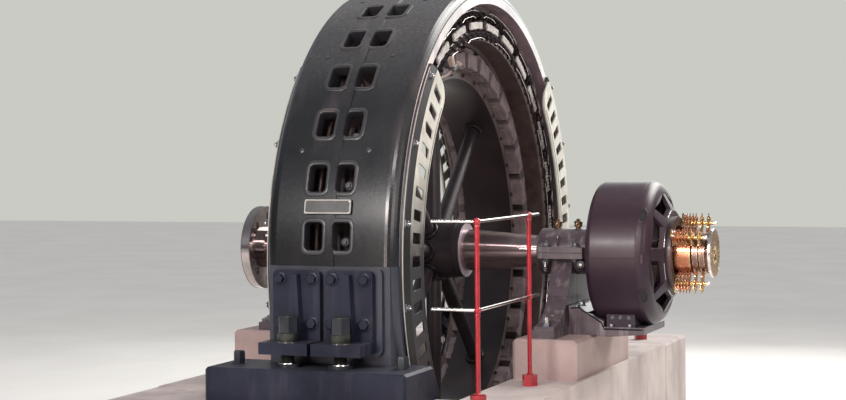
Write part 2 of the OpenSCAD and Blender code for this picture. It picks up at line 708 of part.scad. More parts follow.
module exciter_spider() color("#45434a") at_axis() difference() {
    turned() rotate_extrude($fn = 128) polygon(concat([[yoke_in_r, yoke_front_x]], cone_shoulder(8), [
        [cone_r, cone_front_x], [cone_in_r, cone_front_x], [cone_in_r, cone_front_x - cone_t],
        [cone_r - cone_t / 2, cone_front_x - cone_t], [cone_shoulder_r - cone_t, shoulder_x - cone_t / 2]]));
    for (k = [0:cone_openings - 1]) cone_opening((k + 0.5) * 360 / cone_openings);
}
module brush_rocker() color("#8f5d48") at_axis()
    ring(rocker_in_r + rocker_w, rocker_in_r, rocker_x + seat, rocker_x + rocker_t, $fn = 96);

// Brush arms and the holders that ride on them
module brush_arms() color("#b3874a") at_axis() for (angle = brush_angles)
    around(angle) translate([0, arm_circle_r, 0]) bar(brush_arm_r, rocker_x + rocker_t, brush_arm_end_x);
holder_w = 34;
holder_past_arm = 24;
holder_gap = 8;
ring_holder_w = slip_w - 16;
module holder(x, reach_r, w) difference() {
    translate([x - w / 2, reach_r + brush_clear, -holder_w / 2])
        cube([w, arm_circle_r - reach_r - brush_clear + holder_past_arm, holder_w]);
    translate([0, arm_circle_r, 0]) bar(brush_arm_r + seat, x - w, x + w);
}
holder_start = 3;
holder_x0 = rocker_x + rocker_t + holder_start;
holder_step = (commutator_x + commutator_l - holder_x0) / holders;
module brush_holders() color("#c08a5a") at_axis() for (angle = brush_angles) around(angle) {
    for (k = [0:holders - 1]) holder(holder_x0 + (k + 0.5) * holder_step, commutator_r, holder_step - holder_gap);
    for (k = [0, 1]) holder(slip_x + (k + 0.5) * slip_w + k * slip_gap, slip_r, ring_holder_w);
}

// Guard rail: posts in sockets, with polished rails through their ball joints
ball_r = 19;
socket_r = 44;
socket_h = 62;
ball_bite = 3;
rail_end_y = corner_post_y - ball_r + ball_bite;
module post(y) translate([post_x, y, floor_z]) {
    cylinder(r = socket_r, h = socket_h, $fn = 6);
    translate([0, 0, socket_h - lap]) cylinder(r = post_r, h = post_h - socket_h + lap);
    for (h = [lower_rail_h, upper_rail_h]) translate([0, 0, h]) sphere(r = ball_r);
}
module cross_rails(r, y0, y1) for (h = [lower_rail_h, upper_rail_h])
    translate([post_x, y0, floor_z + h]) rotate([-90, 0, 0]) cylinder(r = r, h = y1 - y0);
module long_rails(r) for (h = [lower_rail_h, upper_rail_h])
    translate([0, corner_post_y, floor_z + h]) bar(r, post_x - rail_overhang_x, post_x - ball_r + ball_bite);
module posts_side() difference() {
    union() {
        post(inner_post_y);
        post(corner_post_y);
    }
    cross_rails(rail_r + seat, inner_post_y - rail_overhang_y, rail_end_y + seat);
    long_rails(rail_r + seat);
}
module rails_side() {
    cross_rails(rail_r, inner_post_y - rail_overhang_y, rail_end_y);
    long_rails(rail_r);
}
module rail_posts() color("#b3212a") at_axis() {
    posts_side();
    mirror([0, 1, 0]) posts_side();
}
module rails() color("#b9b6b0") at_axis() {
    rails_side();
    mirror([0, 1, 0]) rails_side();
}

// Shaft, turned in steps and tapers
hub_ring_x = hub_l / 2 + hub_ring_t;
seat_over = 20;
seat_end_x = hub_ring_x + seat_over;
step_l = 60;
taper_start_x = seat_end_x + step_l;
taper_gap = 6;
taper_end_x = pedestal_x - housing_l / 2 - taper_gap;
journal_over = 12;
journal_end_x = pedestal_x + housing_l / 2 + journal_over;
armature_seat_r = journal_r - 12;
coupling_seat_r = journal_r - coupling_step;
tail_over = 40;
tail_x = commutator_x - tail_over;
module shaft() color("#a9a39c") at_axis() turned() rotate_extrude($fn = 96) polygon([
    [0, recess_depth - coupling_x], [coupling_seat_r, recess_depth - coupling_x],
    [coupling_seat_r, -journal_end_x], [journal_r, -journal_end_x], [journal_r, -taper_end_x],
    [taper_r, -taper_start_x], [seat_r, -seat_end_x], [seat_r, seat_end_x], [taper_r, taper_start_x],
    [journal_r, taper_end_x], [journal_r, journal_end_x], [armature_seat_r, journal_end_x],
    [armature_seat_r, tail_x], [tail_r, tail_x], [tail_r, shaft_end_x - 4], [0, shaft_end_x - 4]]);

// Rotor wheel
module rotor_hub() color("#2c282b") at_axis() ring(hub_r, seat_r + seat, -hub_l / 2, hub_l / 2);
module hub_end_rings() color("#b8aeb0") at_axis() for (side = [0, 1]) mirror([side, 0, 0])
    ring(hub_ring_r, seat_r + seat, hub_l / 2, hub_ring_x);
rim_in_r = rim_r - rim_t;
arm_bite = 30;
module rotor_arm(angle) around(angle) rotate([-90, 0, 0])
    translate([0, 0, hub_r - arm_bite])
        cylinder(r1 = arm_hub_r, r2 = arm_rim_r, h = rim_in_r - hub_r + 2 * arm_bite);
module rotor_arms() color("#34302f") at_axis() intersection() {
    difference() {
        for (k = [0:arms - 1]) rotor_arm(k * 360 / arms);
        bar(hub_r, -hub_l, hub_l);
    }
    bar(rim_in_r, -hub_l, hub_l);
}
module rotor_rim() color("#2f2b2c") at_axis() ring(rim_r, rim_in_r, -rim_w / 2, rim_w / 2, $fn = 180);
// Field poles with their shoes, each inside its coil, standing just off the rim
part_gap = 0.3;
shoe_edge = 12;
coil_foot = 10;
coil_room = 16;
pole_body_h = pole_tip_r - shoe_h - rim_r;
module pole(angle) around(angle) {
    translate([-core_l / 2, rim_r + part_gap, -pole_w / 2]) cube([core_l, pole_body_h, pole_w]);
    translate([-core_l / 2, pole_tip_r - shoe_h, 0]) rotate([90, 0, 90])
        linear_extrude(height = core_l) polygon([[-lap, -shoe_w / 2], [shoe_h - shoe_edge, -shoe_w / 2],
            [shoe_h, -shoe_w / 3], [shoe_h, shoe_w / 3], [shoe_h - shoe_edge, shoe_w / 2], [-lap, shoe_w / 2]]);
}
module rotor_poles() color("#38302e") at_axis() intersection() {
    for (k = [0:poles - 1]) pole((k + 0.5) * 360 / poles);
    bar(pole_tip_r, -core_l, core_l, $fn = 180);
}
module field_coil(angle) around(angle) translate([0, rim_r + coil_foot, 0]) difference() {
    translate([-core_l / 2 - coil_t, 0, -pole_w / 2 - coil_t])
        cube([core_l + 2 * coil_t, pole_body_h - coil_room, pole_w + 2 * coil_t]);
    translate([-core_l / 2 - part_gap, -lap, -pole_w / 2 - part_gap])
        cube([core_l + 2 * part_gap, pole_body_h, pole_w + 2 * part_gap]);
}
module field_coils() color("#4a3a33") at_axis() for (k = [0:poles - 1]) field_coil((k + 0.5) * 360 / poles);

// Coupling flange for the turbine shaft, with a centring recess in its face
coupling_hub_w = 40;
coupling_hub_l = 36;
module shaft_coupling() color("#8d8883") at_axis() difference() {
    union() {
        bar(coupling_r, -coupling_x, -coupling_inner_x);
        bar(journal_r + coupling_hub_w, -coupling_inner_x - lap, coupling_hub_l - coupling_inner_x);
    }
    bar(recess_r, -coupling_x - lap, recess_depth - coupling_x);
    bar(coupling_seat_r + seat, recess_depth - coupling_x - lap, coupling_hub_l - coupling_inner_x + lap);
    for (k = [0:coupling_holes - 1]) around(k * 360 / coupling_holes)
        translate([0, coupling_pcr, 0]) bar(coupling_hole_r, -coupling_x - lap, lap - coupling_inner_x);
}

// Turning parts of the exciter
module exciter_armature() color("#3a2b27") at_axis()
    ring(armature_r, armature_seat_r + seat, pole_x0, pole_x0 + pole_l, $fn = 120);
module commutator() color("#a8563a") at_axis()
    ring(commutator_r, tail_r + seat, commutator_x, commutator_x + commutator_l, $fn = 96);
slip_ring_h = 30;
slip_hub_l = 8;
module slip_rings() color("#b88a4c") at_axis() {
    for (k = [0, 1]) translate([slip_x + k * (slip_w + slip_gap), 0, 0])
        ring(slip_r, slip_r - slip_ring_h, 0, slip_w);
    ring(slip_r - slip_ring_h + lap, tail_r + seat, slip_x - slip_hub_l, slip_end_x + slip_hub_l);
}
slot_w = 6;
slot_inset = 14;
slot_start_r = tail_r + slot_inset;
slot_end_r = end_disc_r - 12;
module end_disc() color("#b5766a") at_axis() difference() {
    ring(end_disc_r, tail_r + seat, end_disc_x, end_disc_x + end_disc_t);
    for (k = [0:end_disc_slots - 1]) around(k * 360 / end_disc_slots)
        translate([end_disc_x - lap, slot_start_r, -slot_w / 2])
            cube([end_disc_t + 2 * lap, slot_end_r - slot_start_r, slot_w]);
}

foundation_near_wall();
foundation_far_wall();
foundation_front_wall();
foundation_rear_wall();
bearing_plinth_front();
bearing_plinth_rear();
sole_plate_near();
sole_plate_far();
stator_frame_upper();
stator_frame_lower();
stator_core();
coil_heads_front();
coil_heads_rear();
end_guard_front();
end_guard_rear();
nameplate();
jacking_brackets_near();
jacking_brackets_far();
jack_screws_near();
jack_screws_far();
pedestal_front();
pedestal_rear();
bearing_cap_front();
bearing_cap_rear();
lubricators();
exciter_bracket();
exciter_yoke();
exciter_poles();
exciter_spider();
brush_rocker();
brush_arms();
brush_holders();
rail_posts();
rails();
shaft();
rotor_hub();
hub_end_rings();
rotor_arms();
rotor_rim();
rotor_poles();
field_coils();
shaft_coupling();
exciter_armature();
commutator();
slip_rings();
end_disc();
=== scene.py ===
import json
import math
import random
import bpy
from mathutils import Matrix, Vector


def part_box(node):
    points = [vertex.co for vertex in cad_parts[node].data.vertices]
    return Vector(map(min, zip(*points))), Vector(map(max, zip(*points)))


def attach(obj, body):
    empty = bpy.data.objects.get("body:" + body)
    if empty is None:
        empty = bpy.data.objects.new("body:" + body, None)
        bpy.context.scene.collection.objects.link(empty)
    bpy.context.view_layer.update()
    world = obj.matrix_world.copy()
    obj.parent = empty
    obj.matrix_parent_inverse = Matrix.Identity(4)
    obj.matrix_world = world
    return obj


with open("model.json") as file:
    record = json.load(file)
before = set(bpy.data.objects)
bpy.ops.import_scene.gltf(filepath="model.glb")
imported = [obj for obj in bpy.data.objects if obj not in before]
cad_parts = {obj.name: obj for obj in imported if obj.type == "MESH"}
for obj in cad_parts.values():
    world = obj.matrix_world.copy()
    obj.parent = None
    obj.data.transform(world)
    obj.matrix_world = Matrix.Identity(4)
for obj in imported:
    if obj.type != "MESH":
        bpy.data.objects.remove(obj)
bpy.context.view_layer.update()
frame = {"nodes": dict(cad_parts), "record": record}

random.seed(7)
scene = bpy.context.scene
scene.view_settings.view_transform = "Standard"

# Lengths below are millimetres from the shaft axis and the middle of the window pairs
core_lo, core_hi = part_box("stator_core")
ORIGIN = Vector(((core_lo.x + core_hi.x) / 2, 0, (core_lo.z + core_hi.z) / 2))
RING_R = 1600
FACE_FRONT, FACE_REAR = 391, -363
FLOOR_Z = -698
WINDOW_X, WINDOW_W, WINDOW_H, WINDOW_CORNER = 80, 102, 152, 23
WINDOW_STEP = 11.25
GUARD_END = 41.5
POLES, ARMS = 32, 8
PEDESTAL_X = 862
YOKE_R = 417
BRUSH_ANGLES = (60, 150, 240, 330)
COMMUTATOR_X, COMMUTATOR_END, COMMUTATOR_R = 1531, 1622, 130
SLIP_RING_X, SLIP_RING_W, SLIP_RING_R = (1632, 1672), 30, 118
POST_X, POST_INNER, POST_CORNER = 874, 817, 1684
RAIL_HEIGHTS = (492, 943)
SIDES = (-1, 1)

# Radii in metres, from the shaft axis, at which a casting changes its tone; at FACE_EDGE, LIP_EDGE and RIM_EDGE the
# change is painted light and shade
FACE_EDGE, LIP_EDGE, GUARD_EDGE = 1.545, 1.4915, 1.4895
RIM_EDGE, HUB_EDGE, DISC_EDGE = 1.0475, 0.1635, 0.130


def lerp(a, b, t):
    return a + (b - a) * t


def polar(x, angle, r):
    a = math.radians(angle)
    return Vector((x, r * math.cos(a), r * math.sin(a)))


def round_axes(angle, along=(1, 0, 0)):
    """Axes of a block that stands on a circle round the shaft: along the shaft, round it, and outward"""
    return Vector(along), polar(0, angle + 90, 1), polar(0, angle, 1)


# ---- materials ----
def link(tree, a, b):
    tree.links.new(a, b)


def noise(t, scale, detail, vector):
    node = t.nodes.new("ShaderNodeTexNoise")
    node.inputs["Scale"].default_value = scale
    node.inputs["Detail"].default_value = detail
    link(t, vector, node.inputs["Vector"])
    return node


def ranged(t, value, low=0.0, high=1.0, to_low=0.0, to_high=1.0):
    """A value mapped from one range to another, and held at its ends"""
    node = t.nodes.new("ShaderNodeMapRange")
    for key, number in (("From Min", low), ("From Max", high), ("To Min", to_low), ("To Max", to_high)):
        node.inputs[key].default_value = number
    link(t, value, node.inputs["Value"])
    return node.outputs[0]


def blend(t, factor, first, second, kind="MIX"):
    """Mixes two colours, each a socket or a tone, by a socket or a number"""
    node = t.nodes.new("ShaderNodeMix")
    node.data_type = "RGBA"
    node.blend_type = kind
    for socket, value in ((node.inputs[0], factor), (node.inputs[6], first), (node.inputs[7], second)):
        if isinstance(value, bpy.types.NodeSocket):
            link(t, value, socket)
        else:
            socket.default_value = (*value, 1) if isinstance(value, tuple) else value
    return node.outputs[2]


def multiply_add(t, value, factor, addend):
    node = t.nodes.new("ShaderNodeMath")
    node.operation = "MULTIPLY_ADD"
    node.inputs[1].default_value = factor
    link(t, value, node.inputs[0])
    link(t, addend, node.inputs[2])
    return node.outputs[0]


def paint(name, dark, light, rough=(0.3, 0.45), metal=0.0, scale=3.0, fine=60.0, bump=0.1, coat=0.0,
          stretch=(1, 1, 1), specular=0.5, streak=None, dust=None):
    """Two tones mixed by noise, a finer noise for roughness and bump, and dust on faces that look up"""
    m = bpy.data.materials.new(name)
    m.use_nodes = True
    t = m.node_tree
    n = t.nodes
    shader = n["Principled BSDF"]
    coord = n.new("ShaderNodeTexCoord")
    mapping = n.new("ShaderNodeMapping")
    mapping.inputs["Scale"].default_value = stretch
    link(t, coord.outputs["Object"], mapping.inputs["Vector"])
    big = noise(t, scale, 6, mapping.outputs[0])
    big.inputs["Roughness"].default_value = 0.6
    small = noise(t, fine, 4, mapping.outputs[0]).outputs["Fac"]
    ramp = n.new("ShaderNodeValToRGB")
    for stop, place, tone in zip(ramp.color_ramp.elements, (0.35, 0.65), (dark, light)):
        stop.position = place
        stop.color = (*tone, 1)
    link(t, big.outputs["Fac"], ramp.inputs["Fac"])
    colour = ramp.outputs["Color"]
    if streak:
        tone, streak_scale, streak_stretch, strength = streak
        smap = n.new("ShaderNodeMapping")
        smap.inputs["Scale"].default_value = streak_stretch
        link(t, coord.outputs["Object"], smap.inputs["Vector"])
        wave = noise(t, streak_scale, 3, smap.outputs[0]).outputs["Fac"]
        colour = blend(t, ranged(t, wave, 0.52, 0.72, to_high=strength), colour, tone)
    if dust:
        tone, strength = dust
        geo = n.new("ShaderNodeNewGeometry")
        split = n.new("ShaderNodeSeparateXYZ")
        link(t, geo.outputs["Normal"], split.inputs[0])
        mul = n.new("ShaderNodeMath")
        mul.operation = "MULTIPLY"
        link(t, ranged(t, split.outputs["Z"], 0.55, 1.0, to_high=strength), mul.inputs[0])
        link(t, small, mul.inputs[1])
        colour = blend(t, mul.outputs[0], colour, tone)
    link(t, colour, shader.inputs["Base Color"])
    link(t, ranged(t, small, to_low=rough[0], to_high=rough[1]), shader.inputs["Roughness"])
    shader.inputs["Metallic"].default_value = metal
    shader.inputs["Specular IOR Level"].default_value = specular
    shader.inputs["Coat Weight"].default_value = coat
    shader.inputs["Coat Roughness"].default_value = 0.18
    if bump:
        b = n.new("ShaderNodeBump")
        b.inputs["Strength"].default_value = bump
        b.inputs["Distance"].default_value = 0.002
        link(t, small, b.inputs["Height"])
        link(t, b.outputs[0], shader.inputs["Normal"])
    return m


def tint(m, factor, low_tone, high_tone):
    """Multiplies a material's colour by a tone that a factor leads from low to high"""
    t = m.node_tree
    base = t.nodes["Principled BSDF"].inputs["Base Color"]
    tone = blend(t, factor, low_tone, high_tone)
    link(t, blend(t, 1.0, base.links[0].from_socket, tone, "MULTIPLY"), base)


def radial_split(name, edge, inner, outer):
    """Recolours a material: one tone inside a radius from the shaft, another outside it"""
    t = MATS[name].node_tree
    n = t.nodes
    coord = n.new("ShaderNodeTexCoord")
    shift = n.new("ShaderNodeMapping")
    shift.inputs["Location"].default_value = -ORIGIN
    link(t, coord.outputs["Object"], shift.inputs["Vector"])
    flat = n.new("ShaderNodeVectorMath")
    flat.operation = "MULTIPLY"
    flat.inputs[1].default_value = (0, 1, 1)
    link(t, shift.outputs[0], flat.inputs[0])
    length = n.new("ShaderNodeVectorMath")
    length.operation = "LENGTH"
    link(t, flat.outputs[0], length.inputs[0])
    tint(MATS[name], ranged(t, length.outputs["Value"], edge - 0.001, edge + 0.001), inner, outer)


def height_fade(name, low, high, tone, lean=0.0, rise=0.0):
    """Paints shade: multiplies a colour by a tone below one height and fades it out at another, in metres.
    lean and rise lower both heights toward the far side and the front, metre for metre."""
    t = MATS[name].node_tree
    n = t.nodes
    coord = n.new("ShaderNodeTexCoord")
    split = n.new("ShaderNodeSeparateXYZ")
    link(t, coord.outputs["Object"], split.inputs[0])
    x, y, z = (split.outputs[axis] for axis in "XYZ")
    slant = multiply_add(t, x, rise, multiply_add(t, y, lean, z))
    grain = noise(t, 5, 2, coord.outputs["Object"]).outputs["Fac"]
    # The grain wavers round 0.5 and shifts the edge by half of that
    tint(MATS[name], ranged(t, multiply_add(t, grain, 0.5, slant), low + 0.25, high + 0.25), tone, WHITE)


def turned(name):
    """Spreads a metal's highlight along the shaft, as fine turning marks round it do"""
    t = MATS[name].node_tree
    shader = t.nodes["Principled BSDF"]
    shader.inputs["Anisotropic"].default_value = 0.9
    shader.inputs["Anisotropic Rotation"].default_value = 0.25
    round_x = t.nodes.new("ShaderNodeTangent")
    round_x.direction_type = "RADIAL"
    round_x.axis = "X"
    link(t, round_x.outputs[0], shader.inputs["Tangent"])


WHITE = (1, 1, 1)
DUST = (0.30, 0.29, 0.28)
FRAME_GRIME = dict(coat=0.12, scale=1.4, dust=((0.36, 0.35, 0.34), 0.5),
                   streak=((0.115, 0.092, 0.086), 7, (1, 0.5, 0.25), 0.4))
CREAM = ((0.55, 0.53, 0.45), (0.76, 0.74, 0.66), (0.35, 0.5),
         dict(coat=0.15, scale=5, streak=((0.42, 0.38, 0.30), 22, (1, 1, 0.4), 0.45)))
# Each paint: its dark and light tones, its range of roughness, and what departs from the defaults
PAINTS = {
    "masonry": ((0.42, 0.36, 0.34), (0.60, 0.52, 0.49), (0.75, 0.95),
                dict(scale=2.2, fine=90, bump=0.5, streak=((0.30, 0.25, 0.24), 5, (1, 1, 0.3), 0.6))),
    "plinth_stone": ((0.36, 0.26, 0.245), (0.47, 0.36, 0.335), (0.6, 0.85),
                     dict(scale=3, fine=120, bump=0.25, streak=((0.36, 0.27, 0.26), 7, (1, 1, 0.25), 0.45))),
    "foot_iron": ((0.006, 0.008, 0.019), (0.021, 0.024, 0.042), (0.36, 0.52),
                  dict(coat=0.03, scale=2.6, specular=0.18, dust=(DUST, 0.16),
                       streak=((0.075, 0.075, 0.085), 18, (1, 1, 0.15), 0.25))),
    "frame_paint": ((0.023, 0.024, 0.027), (0.042, 0.041, 0.042), (0.29, 0.42), FRAME_GRIME),
    "frame_shell": ((0.021, 0.022, 0.025), (0.039, 0.038, 0.039), (0.21, 0.31), FRAME_GRIME),
    "frame_low": ((0.023, 0.027, 0.041), (0.041, 0.046, 0.068), (0.29, 0.42),
                  dict(coat=0.12, scale=1.4, dust=(DUST, 0.25),
                       streak=((0.080, 0.075, 0.085), 7, (1, 0.5, 0.25), 0.3))),
    "core_iron": ((0.070, 0.054, 0.055), (0.115, 0.090, 0.090), (0.6, 0.8),
                  dict(scale=6, specular=0.2, stretch=(20, 1, 1))),
    "coil_tape": ((0.040, 0.026, 0.024), (0.085, 0.055, 0.048), (0.3, 0.5), dict(coat=0.3, scale=14)),
    "guard_paint": CREAM,
    "guard_plate": CREAM,
    "plate_metal": ((0.10, 0.10, 0.105), (0.20, 0.19, 0.19), (0.3, 0.5), dict(metal=0.6, scale=20)),
    "screw_steel": ((0.10, 0.11, 0.12), (0.26, 0.27, 0.28), (0.25, 0.45), dict(metal=0.8, scale=20)),
    "bearing_iron": ((0.052, 0.036, 0.045), (0.100, 0.072, 0.088), (0.25, 0.42),
                     dict(coat=0.3, scale=5, streak=((0.30, 0.27, 0.26), 30, (1, 1, 0.10), 0.5), dust=(DUST, 0.3))),
    "exciter_paint": ((0.030, 0.014, 0.022), (0.042, 0.022, 0.032), (0.32, 0.42),
                      dict(coat=0.04, specular=0.4, scale=2.0, fine=24, bump=0.02, dust=(DUST, 0.2))),
    "copper": ((0.48, 0.17, 0.09), (0.78, 0.36, 0.21), (0.16, 0.34), dict(metal=1.0, scale=16)),
    "brass": ((0.52, 0.33, 0.12), (0.80, 0.58, 0.26), (0.18, 0.36), dict(metal=1.0, scale=18)),
    "old_brass": ((0.13, 0.085, 0.045), (0.30, 0.20, 0.11), (0.3, 0.45), dict(metal=0.8, scale=22)),
    "brass_bright": ((0.62, 0.44, 0.20), (0.92, 0.76, 0.46), (0.12, 0.25), dict(metal=1.0, scale=30)),
    "disc_face": ((0.52, 0.33, 0.14), (0.80, 0.58, 0.30), (0.18, 0.34), dict(metal=1.0, scale=18)),
    "slip_bronze": ((0.20, 0.12, 0.11), (0.36, 0.24, 0.21), (0.2, 0.35), dict(metal=1.0, scale=14)),
    "post_paint": ((0.27, 0.005, 0.010), (0.42, 0.014, 0.024), (0.18, 0.32), dict(coat=0.5, scale=8)),
    "rail_steel": ((0.60, 0.57, 0.54), (0.82, 0.80, 0.77), (0.10, 0.22), dict(metal=1.0, scale=12)),
    "shaft_steel": ((0.40, 0.34, 0.33), (0.60, 0.53, 0.51), (0.10, 0.18),
                    dict(metal=1.0, scale=6, fine=200, bump=0.03)),
    "shaft_turned": ((0.52, 0.40, 0.405), (0.74, 0.60, 0.595), (0.19, 0.25),
                     dict(metal=1.0, scale=6, fine=200, bump=0.03)),
    "ring_steel": ((0.60, 0.56, 0.58), (0.80, 0.76, 0.78), (0.28, 0.4), dict(metal=0.7, scale=8)),
    "bolt_steel": ((0.07, 0.075, 0.09), (0.16, 0.165, 0.18), (0.25, 0.4), dict(metal=0.5, scale=25)),
    "bright_steel": ((0.62, 0.58, 0.56), (0.9, 0.87, 0.84), (0.12, 0.25), dict(metal=1.0, scale=20)),
    "hub_face": ((0.34, 0.28, 0.32), (0.48, 0.41, 0.45), (0.4, 0.55), dict(metal=0.2, scale=9)),
    "rotor_iron": ((0.019, 0.013, 0.016), (0.043, 0.031, 0.035), (0.34, 0.5), dict(coat=0.15, scale=5)),
    "rim_iron": ((0.075, 0.056, 0.050), (0.14, 0.105, 0.092), (0.34, 0.5), dict(coat=0.2, scale=5)),
    "pole_dark": ((0.165, 0.130, 0.135), (0.27, 0.215, 0.220), (0.75, 0.9), dict(scale=9, specular=0.12)),
    "rocker_iron": ((0.040, 0.024, 0.028), (0.085, 0.052, 0.055), (0.35, 0.5), dict(coat=0.2, scale=9)),
    "jack_iron": ((0.012, 0.015, 0.020), (0.028, 0.033, 0.041), (0.3, 0.42), dict(scale=12, specular=0.35)),
    "jack_collar": ((0.018, 0.021, 0.017), (0.040, 0.045, 0.036), (0.28, 0.42), dict(metal=0.2, scale=20)),
    "loop_dark": ((0.022, 0.015, 0.017), (0.045, 0.031, 0.033), (0.8, 0.95), dict(scale=14, specular=0.1)),
    "lead_brown": ((0.10, 0.055, 0.038), (0.22, 0.13, 0.085), (0.4, 0.6), dict(scale=30)),
    "clip_grey": ((0.075, 0.075, 0.085), (0.14, 0.14, 0.15), (0.4, 0.6), dict(scale=14)),
    # pale_edge: the nameplate's rim, and the painted highlight along the guards' edges
    "pale_edge": ((0.30, 0.28, 0.25), (0.48, 0.45, 0.41), (0.3, 0.45), dict(scale=12)),
    "pale_tape": ((0.50, 0.47, 0.44), (0.78, 0.75, 0.71), (0.4, 0.6), dict(scale=30)),
    "pale_block": ((0.30, 0.22, 0.17), (0.46, 0.37, 0.30), (0.4, 0.55), dict(scale=20)),
    "plate_dark": ((0.030, 0.030, 0.032), (0.060, 0.060, 0.062), (0.3, 0.45), dict(scale=20)),
    # Painted shade for the walls of the window holes
    "dark_reveal": ((0.008, 0.008, 0.010), (0.016, 0.016, 0.020), (0.5, 0.7), dict(scale=6)),
    "dark_hole": ((0.004, 0.004, 0.005), (0.012, 0.011, 0.012), (0.6, 0.8), dict(scale=8)),
}
MATS = {name: paint(name, dark, light, rough, **more) for name, (dark, light, rough, more) in PAINTS.items()}
radial_split("guard_plate", GUARD_EDGE, WHITE, (0.055, 0.052, 0.065))
# Painted highlight: the ring's front face inside FACE_EDGE is made pale where window light falls on it, and inside
# LIP_EDGE the inner wall gets a weaker, pinker painted light
radial_split("frame_shell", FACE_EDGE, (25.0, 23.5, 22.0), WHITE)
radial_split("frame_shell", LIP_EDGE, (0.36, 0.28, 0.31), WHITE)
# Painted highlight: the lower half of the front face gets a much weaker pale tone than the upper half
radial_split("frame_low", FACE_EDGE, (2.0, 2.1, 2.0), WHITE)
# Painted shade: the inner face of the rotor rim, inside RIM_EDGE, is darkened
radial_split("rim_iron", RIM_EDGE, (0.20, 0.15, 0.19), WHITE)
radial_split("hub_face", HUB_EDGE, WHITE, (0.10, 0.09, 0.10))
radial_split("disc_face", DISC_EDGE, WHITE, (1.25, 1.25, 2.0))
# Painted shade: the guard plates darken below about 1.4 to 2.1 m, and higher up on the near side
height_fade("guard_plate", 1.42, 2.06, (0.05, 0.054, 0.066), lean=0.13)
# Painted shade: the ring's shell is darker low down and toward its rear end, and darker again below about 2.1 to 3 m,
# which leaves its top lighter
height_fade("frame_shell", 1.25, 2.05, (0.30, 0.32, 0.36), rise=1.0)
height_fade("frame_shell", 2.1, 3.05, (0.40, 0.44, 0.47))
# Partly painted shade, partly the lower casting's own tone: the exciter darkens and turns bluer below its split
height_fade("exciter_paint", 1.50, 1.64, (0.62, 0.60, 0.80))
turned("shaft_turned")

slot_of = {s["node"]: s["material_slot"] for s in frame["record"]["subparts"]}
own = {
    "end_guard_front": "guard_plate", "end_guard_rear": "guard_plate",
    "stator_frame_upper": "frame_shell", "stator_frame_lower": "frame_low",
    "jack_screws_near": "jack_iron", "jack_screws_far": "jack_iron",
    "brush_rocker": "rocker_iron", "slip_rings": "slip_bronze", "end_disc": "disc_face",
    "lubricators": "old_brass", "nameplate": "plate_dark",
    "shaft": "shaft_turned", "hub_end_rings": "hub_face", "rotor_rim": "rim_iron",
    "rotor_poles": "pole_dark", "field_coils": "pole_dark",
}
for name, obj in frame["nodes"].items():
    obj.data.materials.clear()
    obj.data.materials.append(MATS[own.get(name, slot_of[name])])


# ---- mesh building ----
def across(axis):
    """Two directions square to an axis"""
    ref = Vector((0, 0, 1)) if abs(axis.z) < 0.9 else Vector((1, 0, 0))
    u = (ref - axis * ref.dot(axis)).normalized()
    return u, axis.cross(u)


